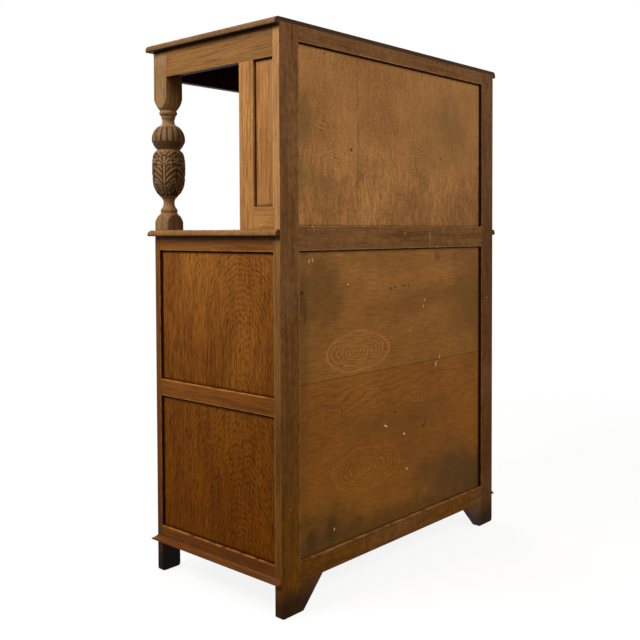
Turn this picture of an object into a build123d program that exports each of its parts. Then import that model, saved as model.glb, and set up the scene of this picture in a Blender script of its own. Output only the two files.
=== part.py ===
"""Court cupboard in joined oak: a two-door lower stage, and a canopied upper stage on two
cup-and-cover pillars, with a splay-fronted cupboard that has one door.

Units are millimetres. +Z is up, +X is the right-hand side as seen from the front, and the front
faces -Y. The origin is on the floor, at the centre of the whole outline."""
from build123d import *
from math import atan2, cos, radians, sin, sqrt, tan
import os

# Carcase
carcase_width = 914.0  # over the outer faces of the corner stiles
carcase_depth = 460.0  # front face of the front frame to rear face of the back frame
overall_height = 1372.0  # floor to the top of the top board
middle_board_top = 895.0  # floor to the surface that the pillars stand on
top_board_thickness = 18.0
middle_board_thickness = 16.0
board_overhang_side = 14.0
board_overhang_front = 15.0
board_nose_radius = 11.0  # rounding of a board's upper edge
board_under_radius = 3.0  # rounding of a board's lower edge

# Framing members
front_frame_thickness = 19.0
back_frame_thickness = 22.0
side_frame_thickness = 19.0
front_stile_width = 58.0
rear_stile_width = 62.0
tenon_length = 20.0
side_tenon_length = 11.0
tenon_thickness = 7.0
groove_depth = 6.0
panel_float = 1.0  # how far a panel's edge stays off the bottom of its groove
panel_thickness = 6.0
panel_recess = 7.0  # frame face to panel face
back_panel_thickness = 5.0
back_panel_recess = 9.0

# Levels of the rails, floor to edge
base_rail_bottom = 78.0
base_rail_top = 121.0
side_middle_rail_bottom = 465.0
side_middle_rail_top = 507.0
lower_top_rail_height = 36.0
back_bottom_rail_low = 70.5
back_bottom_rail_high = 117.5
back_middle_rail_height = 58.0
back_middle_rail_rise = 8.0  # how far the back's middle rail stands over the middle board
back_top_rail_height = 36.0
back_frame_lap = 8.0  # how far the back frame laps over the top board's rear edge
upper_side_rail_height = 52.0

# Feet and base moulding
foot_bracket_reach = 77.0
foot_bracket_toe = 9.0
foot_bracket_rounding = 6.0
foot_rounding = 7.0
base_moulding_bottom = 81.5
base_moulding_height = 13.0
base_moulding_projection = 12.0
base_moulding_fillet = 3.0

# Canopy and pillars
frieze_height = 68.0
frieze_thickness = 19.0
frieze_tenon_length = 12.0
pillar_square = 52.0
pillar_pin_radius = 9.0
pillar_pin_length = 12.0
glue_block_size = 18.0
glue_block_length = 60.0

# Splay-fronted upper cupboard
upper_return_depth = 134.0  # side of the upper cupboard, from the rear face
upper_return_stile_width = 47.0
upper_front_setback = 95.0  # front face of the lower stage to front face of the upper door
splay_angle = 45.0
screen_thickness = 19.0
splay_stile_width = 34.0
door_jamb_width = 32.0
upper_sill_height = 44.0
upper_head_height = 90.0

# Doors
door_thickness = 19.0
door_gap = 2.0
door_stile_width = 50.0
door_top_rail_height = 48.0
door_middle_rail_height = 42.0
door_bottom_rail_height = 60.0
door_tenon_length = 24.0
upper_door_stile_width = 44.0
upper_door_rail_height = 44.0
field_margin = 26.0  # panel edge to the raised field of a door panel
field_height = 4.0
field_slope = 38.0  # degrees that the field's sides lean in
lozenge_share = 0.83  # the lozenge over the field that it is set out on
lozenge_inner_share = 0.8  # inner edge of the lozenge's band over its outer edge
lozenge_relief = 2.0
rosette_petals = 8
rosette_share = 0.3  # circle of the petals' centres over the circle that fits in the band
petal_share = 0.14

# Boards inside
bottom_board_thickness = 12.0
bottom_board_drop = 7.0  # below the bottom rail's edge
shelf_thickness = 14.0
shelf_top = 486.0
bearer_size = 18.0
shelf_clearance = 1.0

# Hinges
hinge_length = 50.0
hinge_leaf_thickness = 1.6
hinge_leaf_depth = 15.0
hinge_knuckle_radius = 3.6
hinge_pin_radius = 1.5
hinge_pin_head_height = 1.2
hinge_pin_head_radius = 2.6
hinge_running_clearance = 0.05
hinge_side_clearance = 0.3
hinge_knuckle_proud = 1.2  # knuckle's centre in front of the door's face
lower_hinge_inset = 70.0  # door's end to hinge's centre
upper_hinge_inset = 50.0
knuckle_pocket_clearance = 0.4

# Drop handles
plate_radius = 15.0
plate_thickness = 1.6
lug_thickness = 2.0
lug_radius = 3.0
drop_pivot_stand = 6.6  # door's face to the pivot's centre
drop_pivot_radius = 1.2
drop_hub_radius = 2.6
drop_hub_width = 6.0
drop_length = 36.0
drop_bulb_radius = 6.0
drop_stem_radius = 1.7
drop_stem_length = 9.0
drop_bulb_lean = 35.0  # degrees up from the bulb's widest circle to where the stem's taper meets it
handle_height_lower = 520.0

# Door stops
stop_width = 60.0
stop_thickness = 12.0
stop_hold = 24.0  # height glued to the rail
stop_reach = 12.0  # how far a stop shows below the rail
stop_clearance = 0.5  # to the closed door

# The turning, upwards from the middle board: (height, radius) where one shape hands over to the next.
# The heights are those of a pillar as tall as the pattern, and stretch with it.
pattern_pillar_height = 459.0
pommel_reach = 37.4  # radius at which the turning leaves the square's corners alone
base_pommel_top = (45.0, 20.5)
base_ring_top = (56.0, 19.5)
foot_neck = (74.0, 14.4)
cup_bottom = (83.0, 18.0)
cup_low = (102.0, 34.0)
cup_mid = (137.0, 41.8)
cup_high = (188.0, 41.0)
cup_shoulder = (201.0, 36.5)
waist = (208.0, 28.5)
bulb_mid = (235.0, 43.0)
bulb_top = (272.0, 20.5)
head_neck = (279.0, 16.0)
collar_fillet_bottom = (291.0, 18.5)
collar_fillet_top = (296.0, 18.5)
collar_top = (309.0, 20.5)
collar_bulge = 23.0
ring_bulge = 22.0
base_pommel_mid = (30.0, 32.5)
head_pommel_mid = (327.0, 32.5)
head_pommel_top = (352.0, pommel_reach)

# Places worked out from the values above
half_width = carcase_width / 2
bulb_reach = bulb_mid[1] - pillar_square / 2
handle_reach = drop_pivot_stand + drop_bulb_radius
outline_depth = carcase_depth + max(board_overhang_front, bulb_reach, handle_reach)
y_back = outline_depth / 2
y_front = y_back - carcase_depth
y_back_inner = y_back - back_frame_thickness
y_front_inner = y_front + front_frame_thickness
x_side_inner = half_width - side_frame_thickness
top_board_bottom = overall_height - top_board_thickness
middle_board_bottom = middle_board_top - middle_board_thickness
frieze_bottom = top_board_bottom - frieze_height
back_frame_top = top_board_bottom + back_frame_lap
lower_top_rail_low = middle_board_bottom - lower_top_rail_height
front_opening = half_width - front_stile_width
pillar_height = top_board_bottom - middle_board_top
turning_stretch = pillar_height / pattern_pillar_height
back_top_rail_low = back_frame_top - back_top_rail_height
back_middle_rail_high = middle_board_top + back_middle_rail_rise
back_middle_rail_low = back_middle_rail_high - back_middle_rail_height
upper_head_low = top_board_bottom - upper_head_height
upper_return_y = y_back - upper_return_depth
upper_front_y = y_front + upper_front_setback
splay_run = (upper_return_y - upper_front_y) / tan(radians(splay_angle))
upper_front_half = half_width - splay_run

FRONT = Plane(origin=(-half_width, y_front, 0), x_dir=(1, 0, 0), z_dir=(0, -1, 0))
BACK = Plane(origin=(half_width, y_back, 0), x_dir=(-1, 0, 0), z_dir=(0, 1, 0))
RIGHT = Plane(origin=(half_width, y_front, 0), x_dir=(0, 1, 0), z_dir=(1, 0, 0))
CENTRE = Plane(origin=(-upper_front_half, upper_front_y, 0), x_dir=(1, 0, 0), z_dir=(0, -1, 0))


def block(x0, x1, y0, y1, z0, z1):
    """A plain board between two corners."""
    return Pos(x0, y0, z0) * Box(x1 - x0, y1 - y0, z1 - z0, align=(Align.MIN,) * 3)


def bar(u0, u1, v0, v1, thickness, depth=0.0):
    """A member in a frame's own plane: u to the right, v up, its face `depth` behind the plane."""
    return block(u0, u1, v0, v1, -(depth + thickness), -depth)


def rail(u0, u1, v0, v1, thickness, tenon=tenon_length):
    """A rail with a tenon at each end, shouldered so that the panel grooves pass it."""
    tongue_depth = (thickness - tenon_thickness) / 2
    tongue = bar(u0 - tenon, u1 + tenon, v0 + groove_depth, v1 - groove_depth, tenon_thickness, tongue_depth)
    return bar(u0, u1, v0, v1, thickness) + tongue


def panel(u0, u1, v0, v1, thickness=panel_thickness, depth=panel_recess):
    """A flat panel for the opening u0..u1 by v0..v1, with its edges in the grooves."""
    tongue = groove_depth - panel_float
    return bar(u0 - tongue, u1 + tongue, v0 - tongue, v1 + tongue, thickness, depth)


def groove(u0, u1, v0, v1, thickness=panel_thickness, depth=panel_recess):
    """The space that a panel needs, down to the bottom of the grooves."""
    return bar(u0 - groove_depth, u1 + groove_depth, v0 - groove_depth, v1 + groove_depth, thickness, depth)


def on(plane, shape):
    """Moves a shape from a frame's own plane to its place."""
    return plane.location * shape


def mirrored(shape):
    """The left-hand twin of a right-hand piece."""
    return mirror(shape, about=Plane.YZ)


def pair(shape):
    """A right-hand piece and its left-hand twin."""
    return [shape, mirrored(shape)]


def pairs(shapes):
    """Right-hand pieces with all their left-hand twins."""
    return [twin for shape in shapes for twin in pair(shape)]


def less(host, *guests):
    """The host with a close-fitting seat for each guest."""
    for guest in guests:
        host = host - guest
    return host


pieces = {}


def keep(name, *shapes):
    """Records a node, made of one or more separate solids."""
    pieces[name] = list(shapes)


# ---------------------------------------------------------------- back frame
def back_openings():
    """The two panel openings of the back frame, as (u0, u1, v0, v1)."""
    inner = rear_stile_width, carcase_width - rear_stile_width
    return {
        "lower": (*inner, back_bottom_rail_high, back_middle_rail_low),
        "upper": (*inner, back_middle_rail_high, back_top_rail_low),
    }


def back_rails():
    """Bottom, middle and top rail of the back frame."""
    inner = rear_stile_width, carcase_width - rear_stile_width
    levels = {
        "bottom": (back_bottom_rail_low, back_bottom_rail_high),
        "middle": (back_middle_rail_low, back_middle_rail_high),
        "top": (back_top_rail_low, back_frame_top),
    }
    return {name: on(BACK, rail(*inner, *level, back_frame_thickness)) for name, level in levels.items()}


def back_grooves():
    """The grooves for both back panels."""
    return [on(BACK, groove(*o, back_panel_thickness, back_panel_recess)) for o in back_openings().values()]


def foot_bracket():
    """Spandrel that braces the right rear foot under the bottom rail."""
    u0 = rear_stile_width
    outline = Polyline(
        (u0, back_bottom_rail_low),
        (u0 + foot_bracket_reach, back_bottom_rail_low),
        (u0 + foot_bracket_toe, 0),
        (u0, 0),
        close=True,
    )
    bracket = extrude(make_face(outline), -back_frame_thickness)
    at_floor = [e for e in bracket.edges() if abs(e.center().Y) < 0.01]
    toe = [e for e in at_floor if abs(e.center().X - u0 - foot_bracket_toe) < 0.01]
    return on(BACK, fillet(toe, foot_bracket_rounding))


# ---------------------------------------------------------------- right side of the lower stage
side_u0 = front_frame_thickness
side_u1 = carcase_depth - back_frame_thickness


def side_rails():
    """Bottom, middle and top rail of the right side."""
    levels = [
        (base_rail_bottom, base_rail_top),
        (side_middle_rail_bottom, side_middle_rail_top),
        (lower_top_rail_low, middle_board_bottom),
    ]
    return [on(RIGHT, rail(side_u0, side_u1, *v, side_frame_thickness, side_tenon_length)) for v in levels]


def side_openings():
    """Lower and upper panel opening of the right side."""
    return [
        (side_u0, side_u1, base_rail_top, side_middle_rail_bottom),
        (side_u0, side_u1, side_middle_rail_top, lower_top_rail_low),
    ]


# ---------------------------------------------------------------- canopy
def front_frieze():
    """Frieze rail between the pillars' square heads."""
    inner = pillar_square, carcase_width - pillar_square
    return on(FRONT, rail(*inner, frieze_bottom, top_board_bottom, frieze_thickness, frieze_tenon_length))


def side_frieze():
    """Frieze rail from the right pillar's head to the rear stile."""
    inner = pillar_square, side_u1
    return on(RIGHT, rail(*inner, frieze_bottom, top_board_bottom, frieze_thickness, frieze_tenon_length))


# ---------------------------------------------------------------- splayed screen of the upper cupboard
def screen_corners(offset):
    """Plan of the right half of the screen, `offset` behind its outer face: rear, return, splay, centre."""
    half = radians(splay_angle) / 2
    slip_return = offset * tan((radians(90) - radians(splay_angle)) / 2)
    slip_front = offset * tan(half)
    return [
        (half_width - offset, y_back_inner),
        (half_width - offset, upper_return_y + slip_return),
        (upper_front_half - slip_front, upper_front_y + offset),
        (0, upper_front_y + offset),
    ]


def along(corners, leg, distance):
    """The point at a distance along one leg of the screen's plan."""
    (x0, y0), (x1, y1) = corners[leg], corners[leg + 1]
    length = sqrt((x1 - x0) ** 2 + (y1 - y0) ** 2)
    return x0 + (x1 - x0) * distance / length, y0 + (y1 - y0) * distance / length


def corner_post(leg, from_start, width, z0, z1):
    """A stile at an end of one leg of the screen, mitred into its neighbour at the corner."""
    outer, inner = screen_corners(0), screen_corners(screen_thickness)
    corner = leg if from_start else leg + 1
    edge_outer = along(outer, leg, width if from_start else leg_length(leg) - width)
    direction = leg_direction(leg)
    inward = screen_thickness * direction[1], -screen_thickness * direction[0]
    edge_inner = edge_outer[0] + inward[0], edge_outer[1] + inward[1]
    outline = make_face(Polyline(outer[corner], edge_outer, edge_inner, inner[corner], close=True))
    return Pos(0, 0, z0) * extrude(outline, z1 - z0)


def leg_length(leg):
    """Length of one leg of the screen on its outer face."""
    (x0, y0), (x1, y1) = screen_corners(0)[leg : leg + 2]
    return sqrt((x1 - x0) ** 2 + (y1 - y0) ** 2)


def leg_direction(leg):
    """Unit vector along one leg, from the rear towards the centre."""
    (x0, y0), (x1, y1) = screen_corners(0)[leg : leg + 2]
    length = leg_length(leg)
    return (x1 - x0) / length, (y1 - y0) / length


def splay_plane():
    """Plane of the right splayed leg, u from the centre corner towards the return corner."""
    direction = leg_direction(1)
    corner = screen_corners(0)[2]
    return Plane(
        origin=(*corner, 0),
        x_dir=(-direction[0], -direction[1], 0),
        z_dir=(-direction[1], direction[0], 0),
    )


# ---------------------------------------------------------------- pillars
def rz(level):
    """A (height, radius) pair of the pattern as a point of the turning's profile."""
    return level[1], level[0] * turning_stretch


def swell(widest, end):
    """Middle of the arc that leaves its widest level upright and runs to another level."""
    rise, inset = rz(end)[1] - rz(widest)[1], widest[1] - end[1]
    radius = (rise**2 + inset**2) / (2 * inset)
    half = atan2(rise, radius - inset) / 2
    return widest[1] - radius * (1 - cos(half)), rz(widest)[1] + radius * sin(half)


def ring_mid(bottom, top, bulge):
    """Top of an astragal's curve."""
    return bulge, (rz(bottom)[1] + rz(top)[1]) / 2


def turned(curves):
    """Revolves an outline that runs up from the lower axis point to the upper one."""
    wire = Wire(curves)
    top, bottom = wire @ 1, wire @ 0
    by_the_axis = Polyline((top.X, 0, top.Z), (0, 0, top.Z), (0, 0, bottom.Z), (bottom.X, 0, bottom.Z))
    return revolve(make_face(Wire([*curves, *by_the_axis.edges()])), Axis.Z)


def upright(curve):
    """Turns a profile drawn as radius against height into the XZ plane."""
    return [Plane.XZ.location * edge for edge in curve.edges()]


def pillar_turning():
    """The round middle of the pillar: ring, neck, cup, bulb, neck and collar."""
    cup_foot = ThreePointArc(rz(cup_bottom), rz(cup_low), rz(cup_mid))
    base_ring_mid = ring_mid(base_pommel_top, base_ring_top, ring_bulge)
    collar_mid = ring_mid(collar_fillet_top, collar_top, collar_bulge)
    curves = [
        ThreePointArc(rz(base_pommel_top), base_ring_mid, rz(base_ring_top)),
        ThreePointArc(rz(base_ring_top), rz(foot_neck), rz(cup_bottom)),
        cup_foot,
        TangentArc(rz(cup_mid), rz(cup_high), tangent=cup_foot % 1),
        ThreePointArc(rz(cup_high), rz(cup_shoulder), rz(waist)),
        ThreePointArc(rz(waist), swell(bulb_mid, waist), rz(bulb_mid)),
        ThreePointArc(rz(bulb_mid), swell(bulb_mid, bulb_top), rz(bulb_top)),
        ThreePointArc(rz(bulb_top), rz(head_neck), rz(collar_fillet_bottom)),
        Line(rz(collar_fillet_bottom), rz(collar_fillet_top)),
        ThreePointArc(rz(collar_fillet_top), collar_mid, rz(collar_top)),
    ]
    return turned([edge for curve in curves for edge in upright(curve)])


def pommel(curve):
    """The domed envelope that turns a square block's corners away."""
    return turned(upright(curve))


def pillar():
    """One pillar: square head and foot, worked into the round by a pommel at each."""
    half = pillar_square / 2
    levels = base_pommel_top, collar_top, head_pommel_top
    foot_top, head_low, head_top = (rz(level)[1] for level in levels)
    foot = block(-half, half, -half, half, 0, foot_top)
    foot = foot & pommel(ThreePointArc((pommel_reach, 0), rz(base_pommel_mid), rz(base_pommel_top)))
    head = block(-half, half, -half, half, head_low, head_top)
    head = head & pommel(ThreePointArc(rz(collar_top), rz(head_pommel_mid), rz(head_pommel_top)))
    square = block(-half, half, -half, half, head_top, pillar_height)
    pin = Pos(0, 0, -pillar_pin_length) * Cylinder(
        pillar_pin_radius, pillar_pin_length, align=(Align.CENTER, Align.CENTER, Align.MIN)
    )
    whole = foot + pillar_turning() + head + square + pin
    centre = half_width - half, y_front + half, middle_board_top
    return Pos(*centre) * whole


# ---------------------------------------------------------------- boards with a moulded edge
def moulded_board(z0, z1):
    """A board that overhangs the front and sides, rounded along those three edges."""
    reach = half_width + board_overhang_side
    board = block(-reach, reach, y_front - board_overhang_front, y_back, z0, z1)
    shown = [e for e in board.edges() if abs(e.center().Z - z1) < 0.01 and e.center().Y < y_back - 0.01]
    board = fillet(shown, board_nose_radius)
    under = [
        e
        for e in board.edges()
        if abs(e.center().Z - z0) < 0.01 and e.center().Y < y_back - 0.01 and abs(e.center().Z - z1) > 1
    ]
    return fillet(under, board_under_radius)


def top_board():
    """Top board, rebated along the rear for the back frame's lap."""
    board = moulded_board(top_board_bottom, overall_height)
    rebate = block(-half_width, half_width, y_back_inner, y_back, top_board_bottom, back_frame_top)
    return board - rebate


def middle_board():
    """Middle board, notched round the back frame."""
    board = moulded_board(middle_board_bottom, middle_board_top)
    notch = block(-half_width, half_width, y_back_inner, y_back, middle_board_bottom, middle_board_top)
    return board - notch


def base_moulding():
    """The moulding round the foot of the lower stage: front and both sides, mitred at the corners."""
    top = base_moulding_bottom + base_moulding_height
    out, fillet_top = base_moulding_projection, base_moulding_bottom + base_moulding_fillet
    hollow = (out * 0.42, fillet_top + (top - fillet_top) * 0.42)

    def profile(x, y, outward):
        """Section of the moulding, standing out from a point on the carcase."""
        points = [(0, base_moulding_bottom), (out, base_moulding_bottom), (out, fillet_top), (0, top)]
        arc = ThreePointArc(points[2], hollow, points[3])
        edges = [Line(points[0], points[1]), Line(points[1], points[2]), arc, Line(points[3], points[0])]
        plane = Plane(origin=(x, y, 0), x_dir=outward, z_dir=Vector(*outward).cross(Vector(0, 0, 1)))
        return plane.location * make_face(Wire([e for c in edges for e in c.edges()]))

    mitre = y_front - out
    front = extrude(profile(-half_width - out, y_front, (0, -1, 0)), carcase_width + 2 * out, dir=(1, 0, 0))
    side = extrude(profile(half_width, mitre, (1, 0, 0)), y_back - mitre, dir=(0, 1, 0))
    corner = make_face(
        Polyline(
            (half_width, y_front),
            (half_width + 2 * out, y_front - 2 * out),
            (half_width + 2 * out, y_back + out),
            (half_width, y_back + out),
            close=True,
        )
    )
    side_zone = Pos(0, 0, base_moulding_bottom - 1) * extrude(corner, base_moulding_height + 2)
    return front - side_zone - mirrored(side_zone), side & side_zone


# ---------------------------------------------------------------- hinges
def cylinder_z(radius, height, x, y, z):
    """A round bar along Z, centred on a point."""
    return Pos(x, y, z) * Cylinder(radius, height)


def hinge(edge_x, face_y, z):
    """A right-hand butt hinge at a jamb's edge: fixed leaf, moving leaf, pin, and the pockets they need.

    The door lies on the -X side of the jamb's edge."""
    ax, ay = edge_x - door_gap / 2, face_y - hinge_knuckle_proud
    third = hinge_length / 3
    knuckle = third - hinge_side_clearance
    bore = hinge_pin_radius + hinge_running_clearance
    way = hinge_knuckle_radius + knuckle_pocket_clearance
    reach = face_y + hinge_leaf_depth

    def leaf(x0, x1, centres, others):
        """One leaf with its own knuckles, notched clear of the other leaf's."""
        plate = block(x0, x1, ay, reach, z - hinge_length / 2, z + hinge_length / 2)
        notch = (third + hinge_side_clearance) / 2
        for centre in others:
            plate = plate - block(x0, x1, ay, ay + way, centre - notch, centre + notch)
        for centre in centres:
            plate = plate + cylinder_z(hinge_knuckle_radius, knuckle, ax, ay, centre)
        return plate - cylinder_z(bore, 2 * hinge_length, ax, ay, z)

    outer, inner = [z - third, z + third], [z]
    fixed = leaf(edge_x, edge_x + hinge_leaf_thickness, outer, inner)
    door_edge = edge_x - door_gap
    moving = leaf(door_edge - hinge_leaf_thickness, door_edge, inner, outer)
    tip, toe = z + hinge_length / 2, z - hinge_length / 2
    pin = cylinder_z(hinge_pin_radius, tip - toe, ax, ay, (tip + toe) / 2)
    for end, side in ((tip, 1), (toe, -1)):
        head_z = end + side * hinge_pin_head_height / 2
        pin = pin + cylinder_z(hinge_pin_head_radius, hinge_pin_head_height, ax, ay, head_z)
    pocket = cylinder_z(way, hinge_length + 4 * hinge_pin_head_height, ax, ay, z)
    fixed_seat = block(edge_x, edge_x + hinge_leaf_thickness, face_y, reach, toe, tip)
    moving_seat = block(door_edge - hinge_leaf_thickness, door_edge, face_y, reach, toe, tip)
    return {
        "fixed": fixed,
        "moving": moving,
        "pin": pin,
        "jamb_cut": [pocket, fixed_seat],
        "door_cut": [pocket, moving_seat],
    }


# ---------------------------------------------------------------- drop handles
def handle_plate():
    """Round back plate with two lugs and the pivot between them, standing out along +Z."""
    upright_axis = (Align.CENTER, Align.CENTER, Align.MIN)
    plate = Cylinder(plate_radius, plate_thickness, align=upright_axis)
    plate = chamfer(plate.faces().sort_by(Axis.Z)[-1].edges(), plate_thickness / 2)
    lug_offset = drop_hub_width / 2 + hinge_side_clearance + lug_thickness / 2
    for side in (-1, 1):
        lug = Box(lug_thickness, 2 * lug_radius, drop_pivot_stand, align=upright_axis)
        head = Pos(0, 0, drop_pivot_stand) * Rot(0, 90, 0) * Cylinder(lug_radius, lug_thickness)
        plate = plate + Pos(side * lug_offset, 0, 0) * (lug + head)
    span = 2 * lug_offset + lug_thickness
    return plate + Pos(0, 0, drop_pivot_stand) * Rot(0, 90, 0) * Cylinder(drop_pivot_radius, span)


def handle_drop():
    """Pear drop that hangs from the plate's pivot, down along -Y."""
    hub = Rot(0, 90, 0) * Cylinder(drop_hub_radius, drop_hub_width)
    bulb_y = drop_bulb_radius - drop_length
    lean = radians(drop_bulb_lean)

    def on_bulb(angle):
        """Point of the bulb's outline, at an angle up from its widest circle."""
        return drop_bulb_radius * cos(angle), bulb_y + drop_bulb_radius * sin(angle)

    outline = [
        Line((0, 0), (drop_stem_radius, 0)),
        Line((drop_stem_radius, 0), (drop_stem_radius, -drop_stem_length)),
        Line((drop_stem_radius, -drop_stem_length), on_bulb(lean)),
        ThreePointArc(on_bulb(lean), on_bulb((lean - radians(90)) / 2), (0, -drop_length)),
        Line((0, -drop_length), (0, 0)),
    ]
    pear = revolve(make_face(Wire([e for c in outline for e in c.edges()])), Axis.Y)
    drop = hub + pear
    drop = drop - Rot(0, 90, 0) * Cylinder(drop_pivot_radius + hinge_running_clearance, 2 * drop_hub_width)
    return Pos(0, 0, drop_pivot_stand) * drop


# ---------------------------------------------------------------- doors
def field_size(u0, u1, v0, v1):
    """Width and height of a panel's raised field at its foot."""
    return u1 - u0 - 2 * field_margin, v1 - v0 - 2 * field_margin


def fielded(u0, u1, v0, v1):
    """A panel with a raised field that stands up from its face."""
    centre = Pos((u0 + u1) / 2, (v0 + v1) / 2, -panel_recess)
    field = extrude(Rectangle(*field_size(u0, u1, v0, v1)), field_height, taper=field_slope)
    return panel(u0, u1, v0, v1) + centre * field


def diamond(width, height):
    """A lozenge standing on its point."""
    corners = (width / 2, 0), (0, height / 2), (-width / 2, 0), (0, -height / 2)
    return make_face(Polyline(*corners, close=True))


def carved(u0, u1, v0, v1):
    """A fielded panel with a lozenge band in relief round a rosette."""
    width, height = (size * lozenge_share for size in field_size(u0, u1, v0, v1))
    inner = width * lozenge_inner_share, height * lozenge_inner_share
    inner_circle = inner[0] * inner[1] / (2 * sqrt(inner[0] ** 2 + inner[1] ** 2))
    rosette_radius = rosette_share * inner_circle
    pattern = [diamond(width, height) - diamond(*inner), Circle(rosette_radius)]
    for spot in PolarLocations(rosette_radius, rosette_petals):
        pattern.append(spot * Circle(petal_share * inner_circle))
    shape = fielded(u0, u1, v0, v1)
    face = Pos((u0 + u1) / 2, (v0 + v1) / 2, field_height - panel_recess)
    for motif in pattern:
        shape = shape + face * extrude(motif, lozenge_relief)
    return shape


def door(plane, u0, u1, v0, v1, stile, rails, hinge_cuts):
    """A framed door in its closed place. `rails` lists the (low, high) level of each rail."""
    inner = u0 + stile, u1 - stile
    openings = [(*inner, low[1], high[0]) for low, high in zip(rails, rails[1:])]
    rail_shapes = [rail(*inner, *level, door_thickness, door_tenon_length) for level in rails]
    grooves = [groove(*opening) for opening in openings]
    stiles = [bar(u0, inner[0], v0, v1, door_thickness), bar(inner[1], u1, v0, v1, door_thickness)]
    seats = [*rail_shapes, *grooves]
    return {
        "stiles": [less(on(plane, less(s, *seats)), *hinge_cuts) for s in stiles],
        "rails": [on(plane, less(r, *grooves)) for r in rail_shapes],
        "panels": [on(plane, (carved if o is openings[-1] else fielded)(*o)) for o in openings],
    }


# ---------------------------------------------------------------- feet and stops
def rounded_foot(stile, *edges_x):
    """A stile with its foot rounded along the floor edges that lie at the given places across it."""
    shown = [
        e
        for e in stile.edges()
        if abs(e.center().Z) < 0.01 and any(abs(e.center().X - x) < 0.01 for x in edges_x)
    ]
    return fillet(shown, foot_rounding)


def door_stop(x, back_y, low, rail_low):
    """A block glued behind a rail, that a closed door meets just below the rail."""
    x0, x1 = x - stop_width / 2, x + stop_width / 2
    whole = block(x0, x1, back_y, back_y + stop_thickness, low, rail_low + stop_hold)
    return whole - block(x0, x1, back_y, back_y + stop_clearance, low, rail_low)


# ================================================================ assembly
rear_stile = rounded_foot(
    block(half_width - rear_stile_width, half_width, y_back_inner, y_back, 0, back_frame_top), half_width
)
front_stile = rounded_foot(
    block(half_width - front_stile_width, half_width, y_front, y_front_inner, 0, middle_board_bottom),
    half_width - front_stile_width,
    half_width,
)
frieze_front, frieze_right = front_frieze(), side_frieze()
right_rails = side_rails()
right_grooves = [on(RIGHT, groove(*o)) for o in side_openings()]
right_panels = [on(RIGHT, panel(*o)) for o in side_openings()]
back_rail = back_rails()

# Upper return: rail and panel between the rear stile and the return stile
return_u0 = carcase_depth - upper_return_depth + upper_return_stile_width
return_opening = (return_u0, side_u1, middle_board_top + upper_side_rail_height, frieze_bottom)
return_rail = on(
    RIGHT,
    rail(return_u0, side_u1, middle_board_top, return_opening[2], screen_thickness, side_tenon_length),
)
return_groove = on(RIGHT, groove(*return_opening))
return_panel = on(RIGHT, panel(*return_opening))
return_stile = corner_post(0, False, upper_return_stile_width, middle_board_top, frieze_bottom)
return_stile = less(return_stile, return_rail, return_groove)

# Front frame of the lower stage
front_inner = front_stile_width, carcase_width - front_stile_width
front_rails = {
    "top": on(FRONT, rail(*front_inner, lower_top_rail_low, middle_board_bottom, front_frame_thickness)),
    "bottom": on(FRONT, rail(*front_inner, base_rail_bottom, base_rail_top, front_frame_thickness)),
}

# Hinges: two a door
lower_door_low = base_rail_top + door_gap
lower_door_high = lower_top_rail_low - door_gap
upper_sill_top = middle_board_top + upper_sill_height
upper_door_low = upper_sill_top + door_gap
upper_door_high = upper_head_low - door_gap
upper_opening = upper_front_half - door_jamb_width
lower_hinge_heights = lower_door_low + lower_hinge_inset, lower_door_high - lower_hinge_inset
upper_hinge_heights = upper_door_low + upper_hinge_inset, upper_door_high - upper_hinge_inset
lower_hinges = [hinge(front_opening, y_front, z) for z in lower_hinge_heights]
upper_hinges = [hinge(upper_opening, upper_front_y, z) for z in upper_hinge_heights]
lower_jamb_cuts = [cut for h in lower_hinges for cut in h["jamb_cut"]]
lower_door_cuts = [cut for h in lower_hinges for cut in h["door_cut"]]
upper_jamb_cuts = [mirrored(cut) for h in upper_hinges for cut in h["jamb_cut"]]
upper_door_cuts = [mirrored(cut) for h in upper_hinges for cut in h["door_cut"]]

# Back of the carcase
rear_stile = less(rear_stile, *back_rail.values(), *back_grooves())
rear_stile = less(rear_stile, *right_rails, *right_grooves, frieze_right, return_rail, return_groove)
keep("rear_stile_right", rear_stile)
keep("rear_stile_left", mirrored(rear_stile))
for name, shape in back_rail.items():
    keep(f"back_{name}_rail", less(shape, *back_grooves()))
for name, opening in back_openings().items():
    keep(f"back_{name}_panel", on(BACK, panel(*opening, back_panel_thickness, back_panel_recess)))
keep("rear_foot_brackets", *pair(foot_bracket()))

# Lower stage
front_stile = less(front_stile, *front_rails.values(), *right_rails, *right_grooves, *lower_jamb_cuts)
keep("front_stile_right", front_stile)
keep("front_stile_left", mirrored(front_stile))
keep("front_top_rail", front_rails["top"])
keep("front_bottom_rail", front_rails["bottom"])
right_rails = [less(r, *right_grooves) for r in right_rails]
keep("side_rails", *pairs(right_rails))
keep("side_panels", *pairs(right_panels))
moulding_front, moulding_side = base_moulding()
keep("base_moulding_front", moulding_front)
keep("base_moulding_sides", *pair(moulding_side))

# Boards and bearers inside the lower stage
bottom_board_top = base_rail_top - bottom_board_drop
bottom_board_low = bottom_board_top - bottom_board_thickness
keep(
    "bottom_board",
    block(-x_side_inner, x_side_inner, y_front_inner, y_back_inner, bottom_board_low, bottom_board_top),
)
shelf_low = shelf_top - shelf_thickness
shelf_reach = x_side_inner - shelf_clearance
keep("shelf", block(-shelf_reach, shelf_reach, y_front_inner + door_gap, y_back_inner, shelf_low, shelf_top))


def bearer(top):
    """A batten on the right side's inner face, under a board."""
    x0, z0 = x_side_inner - bearer_size, top - bearer_size
    return block(x0, x_side_inner, y_front_inner, y_back_inner, z0, top)


keep("shelf_bearers", *pair(bearer(shelf_low)))
keep("bottom_board_bearers", *pair(bearer(bottom_board_low)))

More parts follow.
